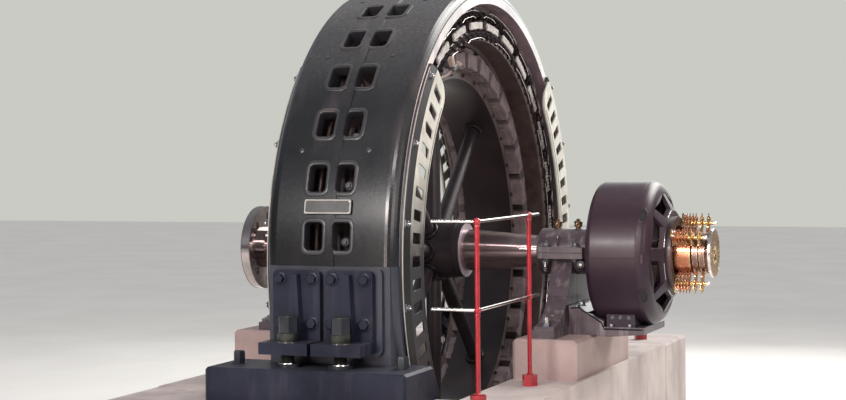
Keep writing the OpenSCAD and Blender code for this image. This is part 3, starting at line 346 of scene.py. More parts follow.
class Piece:
    """Collects faces in millimetres and becomes one named mesh that rides on a body"""

    def __init__(self, name, mat, slot, body="stationary"):
        self.name, self.mat, self.slot, self.body = name, mat, slot, body
        self.verts, self.faces = [], []

    def add(self, verts, faces):
        k = len(self.verts)
        self.verts.extend(verts)
        self.faces.extend([tuple(i + k for i in f) for f in faces])

    def grid(self, rows, closed_u=False, closed_v=False, cap=False):
        """Rows of points joined by quads"""
        n, m = len(rows), len(rows[0])
        verts = [v for row in rows for v in row]
        faces = []
        for i in range(n if closed_v else n - 1):
            for j in range(m if closed_u else m - 1):
                a, b = i * m + j, i * m + (j + 1) % m
                c, d = ((i + 1) % n) * m + (j + 1) % m, ((i + 1) % n) * m + j
                faces.append((a, b, c, d))
        if cap:
            faces.append(tuple(range(m - 1, -1, -1)))
            faces.append(tuple((n - 1) * m + j for j in range(m)))
        self.add(verts, faces)

    def lathe(self, base, axis, profile, n=24):
        """A profile of (radius, height) turned round an axis"""
        axis = Vector(axis).normalized()
        base = Vector(base)
        u, v = across(axis)
        rows = []
        for r, h in profile:
            rows.append([base + axis * h + (u * math.cos(a) + v * math.sin(a)) * max(r, 0.02)
                         for a in (math.radians(360 * i / n) for i in range(n))])
        self.grid(rows, closed_u=True)

    def tube(self, points, r, n=8, closed=False):
        """A round bar along a line of points, its radius one number or one for each point"""
        pts = [Vector(p) for p in points]
        rows = []
        side = None
        for i, p in enumerate(pts):
            a = pts[i - 1] if (i or closed) else p
            b = pts[(i + 1) % len(pts)] if (i < len(pts) - 1 or closed) else p
            d = (b - a).normalized()
            if side is None:
                side = d.cross(Vector((0.31, 0.2, 0.93))).normalized()
            side = (side - d * side.dot(d)).normalized()
            up = d.cross(side)
            rad = r[i] if isinstance(r, (list, tuple)) else r
            rows.append([p + (side * math.cos(t) + up * math.sin(t)) * rad
                         for t in (2 * math.pi * k / n for k in range(n))])
        self.grid(rows, closed_u=True, closed_v=closed, cap=not closed)

    def block(self, centre, size, axes=None, bevel=2.0):
        """A box with every edge bevelled"""
        c = Vector(centre)
        ax = axes or (Vector((1, 0, 0)), Vector((0, 1, 0)), Vector((0, 0, 1)))
        h = [s / 2 for s in size]
        b = min(bevel, min(h) * 0.6)
        rows = []
        for z, inset in ((-h[2], b), (-h[2] + b, 0), (h[2] - b, 0), (h[2], b)):
            x, y = h[0] - inset, h[1] - inset
            q = b * 0.9 if inset == 0 else b * 0.5
            ring = [(x, -y + q), (x, y - q), (x - q, y), (-x + q, y),
                    (-x, y - q), (-x, -y + q), (-x + q, -y), (x - q, -y)]
            rows.append([c + ax[0] * p + ax[1] * s + ax[2] * z for p, s in ring])
        self.grid(rows, closed_u=True, cap=True)

    def hexbolt(self, base, axis, af, h, washer=None, stud=0.0, turn=0.0, washer_h=4.0):
        """A hexagon head or nut with chamfered corners on a round washer"""
        axis = Vector(axis).normalized()
        base = Vector(base)
        w = 0.0
        if washer:
            w = washer_h
            self.lathe(base, axis, [(washer, 0), (washer, w - 1), (washer - 1.5, w), (af * 0.3, w)], 24)
        u, v = across(axis)
        corner = af / math.sqrt(3)
        rows = []
        for r, z in ((corner, w), (corner, w + h * 0.86), (corner * 0.88, w + h), (0.02, w + h)):
            rows.append([base + axis * z + (u * math.cos(a) + v * math.sin(a)) * r
                         for a in (math.radians(turn + 60 * i) for i in range(6))])
        self.grid(rows, closed_u=True)
        if stud:
            self.lathe(base + axis * (w + h - 1), axis,
                       [(af * 0.28, 0), (af * 0.28, stud - 2), (af * 0.22, stud), (0, stud)], 14)

    def done(self, angle=38):
        """Makes the mesh, smooth but for edges sharper than an angle, and rides it on its body"""
        mesh = bpy.data.meshes.new(self.name)
        mesh.from_pydata([ORIGIN + Vector(v) * 0.001 for v in self.verts], [], self.faces)
        mesh.validate()
        mesh.update()
        for p in mesh.polygons:
            p.use_smooth = True
        mesh.set_sharp_from_angle(angle=math.radians(angle))
        obj = bpy.data.objects.new(self.name, mesh)
        scene.collection.objects.link(obj)
        mesh.materials.append(MATS[self.mat])
        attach(obj, self.body)


def round_rect(w, h, r, n=5):
    """Points round a rectangle with rounded corners"""
    x, y = w / 2 - r, h / 2 - r
    out = []
    for cx, cy, a0 in ((x, y, 0), (-x, y, 90), (-x, -y, 180), (x, -y, 270)):
        for i in range(n + 1):
            a = math.radians(a0 + 90 * i / n)
            out.append((cx + r * math.cos(a), cy + r * math.sin(a)))
    return out


# ---- pieces on the stator ----
# No window lies nearer below the horizontal than this, where the feet are
FOOT_ANGLE = 24.6
UPPER = [WINDOW_STEP * (k + 0.5) for k in range(16)]
LOWER = [-a for a in UPPER if FOOT_ANGLE < a < 180 - FOOT_ANGLE]


def ring_point(x, angle, r, t=0.0, h=0.0):
    """A point on the ring's curved wall: t mm round from the angle, h mm proud of radius r"""
    a = math.radians(angle)
    rad = Vector((0, math.cos(a), math.sin(a)))
    tan = Vector((0, -math.sin(a), math.cos(a)))
    return Vector((x, 0, 0)) + rad * math.sqrt((r + h) ** 2 - t * t) + tan * t


def window_frames():
    """A raised rim round each window, and the wall of its hole, painted near black as shade"""
    rim = Piece("window_frames", "frame_paint", "frame_paint")
    # Painted shade: the walls of the window holes are near black
    reveal = Piece("window_reveals", "dark_reveal", "frame_paint")
    for a in UPPER + LOWER:
        for s in SIDES:
            def row(grow, h):
                corners = round_rect(WINDOW_W + 2 * grow, WINDOW_H + 2 * grow, max(WINDOW_CORNER + grow, 6))
                return [ring_point(s * WINDOW_X + u, a, RING_R, w, h) for u, w in corners]

            lip = ((24, -0.5), (23, 4.0), (20, 6.2), (4, 6.2), (1, 4.5), (-1.2, -1.5))
            rim.grid([row(g, h) for g, h in lip], closed_u=True)
            reveal.grid([row(g, h) for g, h in ((-1.2, -1.5), (-2.2, -12), (-2.2, -66))], closed_u=True)
    rim.done()
    reveal.done()


def window_inside():
    """What shows through the windows: ring leads, and a nut, straps, a clip and a stud at each"""
    bars = Piece("lead_bars", "coil_tape", "coil_tape")
    for x, r, rad in ((122, 1470, 12), (104, 1452, 11), (124, 1436, 12), (-122, 1466, 12), (-36, 1440, 9)):
        bars.tube([polar(x, i * 3, r) for i in range(120)], rad, 8, closed=True)
    bars.done(60)
    clips = Piece("lead_clips", "clip_grey", "core_iron")
    warm = Piece("lead_straps", "lead_brown", "coil_tape")
    nuts = Piece("core_nuts", "clip_grey", "core_iron")
    studs = Piece("core_studs", "bright_steel", "core_iron")
    for a in UPPER + LOWER:
        near = 90 < a % 360 < 270
        low = 1 if near else -1
        rad, tan = polar(0, a, 1), polar(0, a + 90, 1) * low
        ax = (Vector((1, 0, 0)), tan, rad)
        jitter = random.uniform(-8, 8)
        # right-hand window: a round nut at its lower left and brown straps at its right
        foot = polar(52, a, 1338) + tan * (18 + jitter)
        nuts.lathe(foot, rad, [(19, 0), (19, 118), (27, 122), (27, 140), (22, 148), (10, 149)], 20)
        nuts.hexbolt(foot + rad * 148, rad, 30, 12)
        for dx, w, h in ((88, 12, 150), (106, 9, 120), (121, 8, 160)):
            place = polar(dx, a, 1462 - (dx - 88) * 0.5) + tan * random.uniform(-12, 12)
            warm.block(place, (w, h, 16), ax, 3)
        # left-hand window: an upright grey bar and a small bright stud
        clips.block(polar(-52, a, 1458), (20, 170, 12), ax, 2.5)
        studs.lathe(polar(-56, a, 1464) + tan * 52, rad, [(9, 0), (9, 8), (6, 12), (0, 13)], 12)
    for piece in (nuts, clips, warm, studs):
        piece.done()


def ring_lines():
    """The seam round the ring and the plugs between its windows"""
    line = Piece("ring_seam", "dark_hole", "frame_paint")
    line.lathe((28.5, 0, 0), (1, 0, 0), [(RING_R + 0.5, 0), (RING_R + 0.5, 3)], 192)
    line.done()
    bolts = Piece("ring_plugs", "frame_paint", "frame_paint")
    for a in (window + WINDOW_STEP / 2 for window in UPPER[1:-1:2] + LOWER[1::2]):
        for s in SIDES:
            bolts.lathe(polar(s * 196, a, RING_R - 1), polar(0, a, 1), [(15, 0), (15, 3), (12, 5), (0, 5.5)], 18)
    bolts.done()


def nameplate_rim():
    p = Piece("nameplate_rim", "pale_edge", "plate_metal")
    screws = Piece("nameplate_screws", "bright_steel", "plate_metal")
    plate_r, plate_w, plate_h = 1616.2, 272, 80
    _, tan, rad = round_axes(180 - WINDOW_STEP)
    rows = []
    for grow, h in ((-2.5, -0.4), (-2.5, 1.4), (-8, 1.4), (-8, -0.4)):
        corners = round_rect(plate_w + 2 * grow, plate_h + 2 * grow, 10 + grow / 2)
        rows.append([Vector((u, 0, 0)) + tan * w + rad * (plate_r + h) for u, w in corners])
    p.grid(rows, closed_u=True)
    p.done()
    for u in (-124, 124):
        for w in (-28, 28):
            screws.lathe(Vector((u, 0, 0)) + tan * w + rad * plate_r, rad, [(4.5, 0), (4, 2), (0, 3)], 12)
    screws.done()


def guard_trim():
    """Beads, clamps, knobs and painted highlight lines along the edges of the two end guards"""
    bead = Piece("guard_beads", "guard_paint", "guard_paint")
    clamps = Piece("guard_clamps", "bolt_steel", "foot_iron")
    knobs = Piece("guard_knobs", "bright_steel", "foot_iron")
    edge = Piece("guard_edge_highlights", "pale_edge", "guard_paint")
    groove = Piece("guard_grooves", "plate_dark", "guard_paint")
    for end, face in ((1, FACE_FRONT), (-1, FACE_REAR)):
        x = face + end * 31
        for a, way in ((GUARD_END, 1), (180 - GUARD_END, -1)):
            rad, tan = polar(0, a, 1), polar(0, a + 90, 1) * way
            c = polar(x, a, 1381)
            quarter = (math.radians(90 * i / 12) for i in range(13))
            pts = [c + (tan * math.sin(t) - rad * math.cos(t)) * 91 for t in quarter]
            pts += [c + tan * 91 + rad * r for r in (30, 60, 100)]
            bead.tube(pts, 9, 10)
        for j in range(-5, 3):
            clamp_angle = 8.4375 + 16.875 * j
            for a in (clamp_angle, 180 - clamp_angle):
                ax = round_axes(a, (end, 0, 0))
                rad = ax[2]
                c = polar(face + end * 22, a, 1511)
                clamps.block(c, (10, 44, 40), ax, 3)
                clamps.lathe(c + Vector((end * 4, 0, 0)), (end, 0, 0), [(17, 0), (17, 10), (12, 14), (0, 15)], 18)
                knobs.lathe(c + Vector((end * 18, 0, 0)) + rad * 3, (end, 0, 0),
                            [(8, 0), (9, 4), (7, 9), (0, 11)], 14)
        # A painted highlight: a pale line along the outer edge of each guard's bar
        edge.tube([polar(face + end * 16, 44.8 - 2.24 * i, 1536.5) for i in range(121)], 3.2, 6)
        groove.tube([polar(x + end * 9, GUARD_END - 2.2 * i, 1303) for i in range(120)], 2.0, 6)
    for piece in (edge, groove, bead):
        piece.done(60)
    clamps.done()
    knobs.done()


def coil_loops(end):
    """Coil heads at one end of the core: loops, connection rods, taped bundles and their ties"""
    name = "front" if end > 0 else "rear"
    p = Piece("coil_loops_" + name, "loop_dark", "coil_tape")
    loops, bundle_count = 96, 28
    outer = ((300, 1404, 0.0), (326, 1410, 0.5), (334, 1424, 1.2), (326, 1438, 1.9), (296, 1444, 2.4))
    inner = ((326, 1280, 0.1), (338, 1288, 0.7), (341, 1304, 1.4), (336, 1320, 2.1), (320, 1328, 2.5))
    for k in range(loops):
        for loop in (outer, inner):
            p.tube([polar(end * x, 360 * k / loops + d, r) for x, r, d in loop], 8, 6)
    for r, x, rad in ((1418, 302, 9), (1436, 300, 9), (1300, 333, 7), (1318, 331, 7)):
        p.tube([polar(end * x, i * 2.5, r) for i in range(144)], rad, 7, closed=True)
    p.done(70)
    rods = Piece("coil_rods_" + name, "bright_steel", "coil_tape")
    for r, x, wave, spacing, start in ((1277, 345, 10, 22.5, 0), (1408, 338, 12, 15, 6), (1447, 332, 8, 30, 3)):
        a = start
        while a < start + 360:
            span = spacing * random.uniform(0.55, 0.8)
            pts = []
            for i in range(13):
                t = i / 12
                lift = wave * min(1, 6 * t, 6 * (1 - t))
                pts.append(polar(end * (x + random.uniform(-0.5, 0.5)), a + span * t, r + lift))
            rods.tube(pts, 2.3, 6)
            a += spacing
    rods.done(70)
    bundles = Piece("coil_end_bundles_" + name, "pale_tape", "coil_tape")
    for k in range(bundle_count):
        for i in range(9):
            a = 95.2 + 360 * k / bundle_count + (i - 4) * 0.98
            bundles.block(polar(end * 330, a, 1362), (16, 19, 44 + random.uniform(-3, 3)), round_axes(a), 4)
    bundles.done()
    ties = Piece("coil_ties_" + name, "rotor_iron", "core_iron")
    for k in range(bundle_count):
        a = 95.2 + 360 * (k + 0.5) / bundle_count
        ties.block(polar(end * 262, a, 1386), (16, 28, 96), round_axes(a), 3)
        ties.hexbolt(polar(end * 270, a, 1392), (end, 0, 0), 24, 14, 16, stud=7)
    ties.done()


def terminal_blocks():
    """A terminal at each end of the core, with its posts and lead"""
    pale = Piece("terminal_blocks", "pale_block", "brass")
    dark = Piece("terminal_posts", "bolt_steel", "coil_tape")
    a = 121.6
    ax = round_axes(a)
    for end in SIDES:
        dark.block(polar(end * 362, a, 1288), (60, 30, 40), ax, 3)
        pale.block(polar(end * 378, a, 1308), (30, 38, 56), ax, 4)
        dark.block(polar(end * 380, a, 1268), (38, 60, 22), ax, 4)
        pale.hexbolt(polar(end * 394, a - 2.0, 1266), (end, 0, 0), 24, 14, 17, stud=10)
        lead = ((370, 0, 1266), (372, 1.6, 1262), (368, 4, 1270), (345, 6.5, 1290))
        pale.tube([polar(end * x, a + d, r) for x, d, r in lead], 7, 8)
    pale.done()
    dark.done()


def bracket_bolts():
    """Bolts of the jacking brackets, collars and threads of the jacks, and fittings of the sole plates"""
    p = Piece("bracket_bolts", "foot_iron", "foot_iron")
    bright = Piece("jack_screw_bits", "jack_collar", "screw_steel")
    shine = Piece("jack_screw_shine", "bright_steel", "screw_steel")
    for s in SIDES:
        for b in SIDES:
            for u in SIDES:
                for z in (-65, -300):
                    p.hexbolt((b * 150 + u * 93, s * 1662, z), (0, s, 0), 46, 24, 37,
                              turn=random.uniform(0, 60), washer_h=7)
            x, y = b * 150, s * 1770
            bright.lathe((x, y, -389), (0, 0, 1),
                         [(52, -1), (52, 9), (54.5, 14), (54.5, 47), (50, 50), (30, 50)], 32)
            bright.lathe((x, y, -255.5), (0, 0, 1), [(44, 0), (42, 4), (24, 8), (0, 8)], 24)
            thread = [point for i in range(13) for point in ((30.6, -500 + i * 4), (33.5, -498 + i * 4))]
            bright.lathe((x, y, 0), (0, 0, 1), thread, 24)
            shine.lathe((x, y, -500), (0, 0, 1), [(52, -0.5), (50, 5), (34, 7)], 32)
            shine.lathe((x, y, -389), (0, 0, 1), [(57, -0.5), (57, 2), (54, 4), (51, 4)], 32)
    p.done()
    bright.done()
    shine.done()
    plugs = Piece("sole_plate_plugs", "foot_iron", "foot_iron")
    holes = Piece("sole_plate_sockets", "dark_hole", "foot_iron")
    bolts = Piece("sole_plate_bolts", "jack_iron", "foot_iron")
    for s in SIDES:
        plugs.lathe((-10, s * 1913, -566), (0, s, 0), [(46, 0), (46, 1.6), (40, 1.9), (37, 1.9)], 32)
        holes.lathe((-10, s * 1914.4, -566), (0, s, 0), [(37.5, 0.3), (0, 0.5)], 28)
        plugs.hexbolt((-18, s * 1914, -572), (0, s, 0), 34, 0.9)
        for x in (-470, 470):
            bolts.hexbolt((x, s * 1700, -518), (0, 0, 1), 58, 62, 44)
    plugs.done()
    holes.done()
    bolts.done()


# ---- pieces on the rotor ----
def rotor_pieces():
    """Rim nuts, straps and turns of the field coils, collars and nuts of the arms, grooves of the shaft"""
    nuts = Piece("rotor_nuts", "rotor_iron", "rotor_iron", "rotor")
    straps = Piece("pole_straps", "pole_dark", "copper", "rotor")
    ends = Piece("pole_end_plates", "rotor_iron", "rotor_iron", "rotor")
    wraps = Piece("field_coil_turns", "pole_dark", "coil_tape", "rotor")
    for s in SIDES:
        for k in range(POLES):
            a = 360 / POLES * k
            nuts.hexbolt(polar(s * 160, a + 5.6, 1071), (s, 0, 0), 22, 12, stud=5, turn=a)
            strap = ((229, 3.2, 1112), (238, 4.4, 1106), (238, 6.8, 1106), (229, 8.0, 1112))
            straps.tube([polar(s * x, a + d, r) for x, d, r in strap], 5, 6)
            for r in range(1118, 1203, 14):
                wraps.tube([polar(s * 226.2, a + t, r) for t in (-3.7, -2, 0, 2, 3.7)], 1.5, 6)
        # The arms' collars come once for each side, so each lies twice in one place
        for k in range(ARMS):
            a = 360 / ARMS * k
            x_axis, tan, rad = round_axes(a)
            ends.lathe(polar(0, a, 168), rad, [(74, -6), (74, 12), (69, 18), (50.5, 20)], 32)
            ends.lathe(polar(0, a, 1047), -rad, [(62, -1), (62, 12), (57, 18), (37.5, 20)], 32)
            for b in (math.radians(60 * t + 30) for t in range(6 if s > 0 else 0)):
                off = x_axis * math.cos(b) + tan * math.sin(b)
                nuts.hexbolt(polar(0, a, 179) + off * 62, rad, 15, 9)
                nuts.hexbolt(polar(0, a, 1035) + off * 50, -rad, 14, 9)
    for piece, angle in ((nuts, 38), (straps, 60), (ends, 38), (wraps, 60)):
        piece.done(angle)
    keys = Piece("shaft_grooves", "dark_hole", "shaft_steel", "rotor")
    for x in (700, 1024, -700, -1024):
        keys.lathe((x, 0, 0), (1, 0, 0), [(89.1, -3), (89.6, -2), (89.6, 2), (89.1, 3)], 72)
    keys.done()


def coupling_pieces():
    p = Piece("coupling_lines", "bolt_steel", "shaft_steel", "rotor")
    for x in (-1133, -1187):
        p.lathe((x, 0, 0), (1, 0, 0), [(259.5, -2), (261.2, -1), (261.2, 1), (259.5, 2)], 96)
    p.done()


# ---- pieces on the pedestals ----
def pedestal_pieces():
    """Bolts, covers, lubricators and oil fittings of the two bearings"""
    bolts = Piece("pedestal_bolts", "bolt_steel", "bearing_iron")
    bright = Piece("pedestal_bright_bits", "bright_steel", "screw_steel")
    pale = Piece("pedestal_fittings", "plate_metal", "plate_metal")
    seams = Piece("pedestal_seams", "dark_hole", "bearing_iron")
    covers = Piece("bearing_end_covers", "bearing_iron", "bearing_iron")
    brass = Piece("lubricator_fittings", "old_brass", "brass")
    for e in SIDES:
        X = e * PEDESTAL_X
        for s in SIDES:
            for y in (330, 470):
                bolts.hexbolt((X, s * y, -423), (0, 0, 1), 52, 34, 40, turn=20)
                bright.lathe((X, s * y, -386), (0, 0, 1), [(16, -2), (16, 34), (13, 37), (0, 37)], 18)
            for dx in (-88, 88):
                bolts.hexbolt((X + dx, s * 165, 34), (0, 0, 1), 30, 18, 22, stud=14, turn=10)
                bolts.hexbolt((X + dx, s * 165, -34), (0, 0, -1), 30, 16, 22, turn=10)
            covers.lathe((X + s * 154, 0, 0), (s, 0, 0),
                         [(130, -2), (130, 5), (127, 8), (104, 8), (100, 3), (92, 3), (90.4, 0)], 72)
            for a in (45, 90, 135, 225, 270, 315):
                bolts.hexbolt(polar(X + s * 162, a, 117), (s, 0, 0), 16, 9, turn=a)
            seams.tube([(X + u, s * 190.4, 0) for u in (-136, -60, 0, 60, 136)], 1.6, 6)
        # lubricators: lids, spouts and a small pipe down the near side
        for dx in (-62, 62):
            c = Vector((X + dx, 0, 137))
            brass.lathe(c, (0, 0, 1), [(25.5, 12), (25.5, 18), (24, 20)], 24)
            brass.lathe(c, (0, 0, 1), [(26, 33), (26, 40), (20, 44), (12, 46)], 24)
            brass.lathe(c, (0, 0, 1), [(11.5, 46), (13, 52), (10, 57), (0, 58)], 16)
            brass.tube([c + Vector((0, y, z)) for y, z in ((-22, 26), (-38, 30), (-48, 24), (-50, 10))], 5, 8)
        bright.tube([(X - 30, -96, 88), (X - 30, -134, 96), (X - 26, -146, 84), (X - 26, -146, 40)], 5, 8)
        # oil gauge and drain on the near side of the housing
        pale.lathe((X - 100, -122, -58), (0, -1, 0), [(20, 0), (20, 22), (16, 28), (0, 28)], 20)
        pale.lathe((X - 100, -150, -110), (0, 0, 1),
                   [(9, 0), (9, 8), (13, 10), (13, 16), (8, 18), (8, 90), (13, 92), (13, 98), (6, 101), (0, 101)], 18)
        bright.lathe((X - 100, -150, -84), (0, 0, 1), [(10, 0), (10, 56)], 18)
        pale.lathe((X + 108, -120, -62), (0.25, -1, -0.15), [(26, 0), (26, 30), (22, 36), (0, 36)], 24)
        bright.hexbolt((X + 117, -156, -67), (0.25, -1, -0.15), 18, 10)
    for piece, angle in ((bolts, 38), (bright, 38), (pale, 38), (seams, 60), (covers, 38), (brass, 38)):
        piece.done(angle)


def bracket_pieces():
    """Bolts and edge ribs of the bracket that carries the exciter"""
    bolts = Piece("exciter_bracket_bolts", "bolt_steel", "foot_iron")
    ribs = Piece("exciter_bracket_ribs", "foot_iron", "foot_iron")
    for s in SIDES:
        for x in (1188, 1296):
            bolts.hexbolt((x, s * 238, -420), (0, 0, 1), 26, 18)
        for x in (1190, 1238, 1287):
            bolts.hexbolt((x, s * 230, -366), (0, s, 0), 18, 8, 12)
        bolts.hexbolt((1000, s * 200, -306), (0, 0, 1), 34, 22, 26, stud=12)
        slope = ((945, -318), (990, -310), (1130, -396), (1145, -432), (1372, -432))
        ribs.tube([(x, s * 250, z) for x, z in slope], 5, 6)
    bolts.done()
    ribs.done(60)


# ---- pieces on the exciter ----
def exciter_pieces():
    """Seams, lugs and oval covers of the yoke, bright edges of its openings, and the rocker's plates"""
    line = Piece("exciter_seams", "exciter_paint", "exciter_paint")
    line.lathe((1373, 0, 0), (1, 0, 0), [(YOKE_R + 0.2, -1.5), (YOKE_R + 0.8, 0), (YOKE_R + 0.2, 1.5)], 160)
    line.done()
    joint = Piece("exciter_split_lines", "dark_hole", "exciter_paint")
    for s in SIDES:
        joint.tube([(1112 + i * 20, s * (YOKE_R + 0.1), -12) for i in range(14)], 1.4, 6)
        joint.tube([(1390, s * 410, -12), (1400, s * 403, -12), (1415, s * 389, -12)], 1.4, 6)
    joint.done(60)
    lugs = Piece("exciter_split_lugs", "exciter_paint", "exciter_paint")
    for s in SIDES:
        lugs.block((1398, s * 397, -14), (40, 26, 60), None, 5)
        for dz in (16, -44):
            lugs.hexbolt((1398, s * 399, dz), (0, 0, dz), 20, 12)
    lugs.done()
    ovals = Piece("exciter_ovals", "dark_hole", "exciter_paint")
    rims = Piece("exciter_oval_rims", "exciter_paint", "exciter_paint")
    for a in (214, 146, 34, -34):
        nrm = polar(0.417, a, 0.909)
        tan = polar(0, a + 90, 1)
        side = nrm.cross(tan)
        c = polar(1402, a, 410.5)

        def ellipse(grow, h):
            return [c + nrm * h + tan * (44 + grow) * math.cos(t) + side * (22 + grow) * math.sin(t)
                    for t in (2 * math.pi * i / 32 for i in range(32))]

        rims.grid([ellipse(g, h) for g, h in ((8, -9), (8, 0), (6, 1.4), (0, 1.4), (-1, -4))], closed_u=True)
        ovals.grid([ellipse(g, 0.2) for g in (-0.2, -10, -21.5)], closed_u=True)
    ovals.done()
    rims.done()
    eye = Piece("exciter_edges", "bright_steel", "exciter_paint")
    for k in range(8):
        eye.tube([polar(1500, lerp(45 * k + 10.2, 45 * k + 34.8, i / 8), 250) for i in range(9)], 2.0, 6)
    eye.done(60)
    plates = Piece("rocker_plates", "brass", "copper")
    nuts = Piece("rocker_nuts", "bright_steel", "brass")
    for a in BRUSH_ANGLES:
        ax = round_axes(a)
        _, tan, rad = ax
        plates.block(polar(1534, a, 205), (12, 46, 96), ax, 3)
        for t, r in ((-14, 240), (14, 240), (-14, 172), (14, 172)):
            nuts.hexbolt(polar(1540, a, 0) + rad * r + tan * t, (1, 0, 0), 14, 8, 9, stud=5)
        nuts.hexbolt(polar(1714, a, 196), (1, 0, 0), 20, 10, 13, stud=6)
    plates.done()
    nuts.done()


def brush_gear():
    """Fingers, springs, screws and carbons of every brush holder"""
    copper = Piece("holder_fingers", "copper", "copper")
    brass = Piece("ring_holder_fingers", "brass", "brass")
    pale = Piece("holder_screws", "brass_bright", "brass")
    carbon = Piece("carbon_brushes", "coil_tape", "coil_tape")
    springs = Piece("holder_springs", "brass_bright", "brass")
    turns = 5
    # Each row of holders: its place along the shaft, what it rubs on, its width and its metal
    pitch = (COMMUTATOR_END - COMMUTATOR_X) / 5
    rows = [(COMMUTATOR_X + (k + 0.5) * pitch, COMMUTATOR_R, 10, copper) for k in range(5)]
    rows += [(x + SLIP_RING_W / 2, SLIP_RING_R, 14, brass) for x in SLIP_RING_X]
    for a in BRUSH_ANGLES:
        ax = round_axes(a)
        along, tan, rad = ax
        for x, r, w, body in rows:
            def at(t, h):
                return Vector((x, 0, 0)) + tan * t + rad * h

            carbon.block(at(0, r + 12.6), (w * 0.8, 22, 22), ax, 1)
            for s in SIDES:
                body.block(at(s * 20, 190), (w * 0.75, 5, 92), ax, 1.5)
                body.tube([at(s * 20, 236), at(s * 26, 246), at(s * 30, 238), at(s * 30, 214)], w * 0.22, 6)
                pale.lathe(at(s * 30, 212), tan * s, [(w * 0.42, 0), (w * 0.42, 5), (0, 7)], 10)
                pale.lathe(at(s * 23, 160), tan * s, [(w * 0.4, 0), (w * 0.4, 4), (0, 6)], 10)
                coil = []
                for i in range(turns * 8 + 1):
                    t = math.pi * i / 4
                    coil.append(at(s * 27, 172) + rad * (30 * i / (turns * 8))
                                + (along * math.cos(t) + tan * math.sin(t)) * w * 0.34)
                springs.tube(coil, 1.3, 5)
            body.block(at(0, 224), (w * 0.9, 44, 10), ax, 2)
            pale.hexbolt(at(0, 229), rad, w * 0.9, 6, stud=5)
            body.tube([at(12, 226), at(34, 226), at(46, 214), at(48, 196)], w * 0.2, 6)
            pale.lathe(at(48, 190), rad, [(w * 0.3, 0), (w * 0.36, 3), (w * 0.36, 8), (0, 10)], 10)
    for piece in (copper, brass, pale, carbon):
        piece.done()
    springs.done(70)


def commutator_pieces():
    """Slots and rings of the commutator, edges of the slip rings, rim and centre of the end disc"""
    seg = Piece("commutator_slots", "dark_hole", "copper", "rotor")
    for a in range(0, 360, 4):
        seg.tube([polar(x, a, COMMUTATOR_R) for x in (1516, 1618)], 0.5, 4)
    seg.done()
    lips = Piece("commutator_rings", "brass_bright", "copper", "rotor")
    low, high = COMMUTATOR_R - 1, COMMUTATOR_R + 0.4
    for x in (1512, 1619):
        lips.lathe((x, 0, 0), (1, 0, 0), [(low, -3), (high, -2), (high, 2), (low, 3)], 96)
    for x in (1633, 1661, 1673, 1701):
        lips.lathe((x, 0, 0), (1, 0, 0), [(117.5, -1.5), (118.8, -1), (118.8, 1), (117.5, 1.5)], 96)
    lips.done()
    disc = Piece("end_disc_rim", "bright_steel", "ring_steel", "rotor")
    disc.lathe((1742, 0, 0), (1, 0, 0), [(140.5, -15), (141.8, -14), (141.8, -2), (140.8, -0.2)], 128)
    disc.done()
    core = Piece("end_disc_centre", "brass_bright", "brass", "rotor")
    core.lathe((1738, 0, 0), (1, 0, 0),
               [(59, 0.3), (59, 2.4), (57, 3.6), (36, 3.6), (32, 1.4), (12, 1.4), (9, 3.4), (0, 3.6)], 64)
    for k in range(6):
        core.hexbolt(polar(1740, 60 * k, 22), (1, 0, 0), 9, 1.6)
    core.done()


# ---- pieces on the rails ----
def rail_pieces():
    """Collars and caps of the guard rail's posts, and rounded ends of its rails"""
    bright = Piece("rail_end_caps", "rail_steel", "rail_steel")
    red = Piece("post_collars", "post_paint", "post_paint")
    x, cap = POST_X, [(9.7, -4), (9.5, 0), (7.5, 3), (0, 4.5)]
    levels = [FLOOR_Z + h for h in RAIL_HEIGHTS]
    for s in SIDES:
        for y, way in ((POST_INNER, s), (POST_CORNER, -s)):
            for z in levels:
                red.lathe((x, s * y, z - 24), (0, 0, 1), [(13, -6), (16, -5), (16, 2), (14.5, 7)], 24)
                red.lathe((x, s * y, z), (0, way, 0), [(13.5, 14), (13.5, 22), (12, 24), (9.7, 24)], 20)
            red.lathe((x, s * y, FLOOR_Z), (0, 0, 1), [(18, 62), (18, 67), (12.9, 71)], 24)
            red.lathe((x, s * y, levels[1]), (0, 0, 1), [(19.2, -2), (19.2, 2), (16.9, 10), (11, 17), (0, 20.5)], 24)
        for z in levels:
            bright.lathe((x, s * (POST_INNER - 168), z), (0, -s, 0), cap, 20)
            bright.lathe((x - 248, s * POST_CORNER, z), (-1, 0, 0), cap, 20)
    bright.done()
    red.done()


window_frames()
window_inside()
ring_lines()
nameplate_rim()
guard_trim()
for side in SIDES:
    coil_loops(side)
terminal_blocks()
bracket_bolts()
rotor_pieces()
coupling_pieces()
pedestal_pieces()
bracket_pieces()
exciter_pieces()
brush_gear()
commutator_pieces()
rail_pieces()


# ---- stage, camera and light ----
def pale_floor():
    mesh = bpy.data.meshes.new("floor")
    half = 40
    mesh.from_pydata([(-half, -half, 0), (half, -half, 0), (half, half, 0), (-half, half, 0)], [], [(0, 1, 2, 3)])
    obj = bpy.data.objects.new("floor", mesh)
    scene.collection.objects.link(obj)
    mesh.materials.append(paint("floor_tone", (0.74, 0.71, 0.68), (0.79, 0.76, 0.73), (0.8, 0.95),
                                scale=0.8, bump=0, specular=0.1))


def area(name, place, target, size, watts, tone):
    """A rectangular lamp, in metres, turned toward a point and unseen by the camera"""
    data = bpy.data.lights.new(name, "AREA")
    data.shape = "RECTANGLE"
    data.size, data.size_y = size
    data.energy = watts
    data.color = tone
    obj = bpy.data.objects.new(name, data)
    obj.location = place
    obj.rotation_euler = (Vector(target) - Vector(place)).to_track_quat("-Z", "Y").to_euler()
    obj.visible_camera = False
    scene.collection.objects.link(obj)


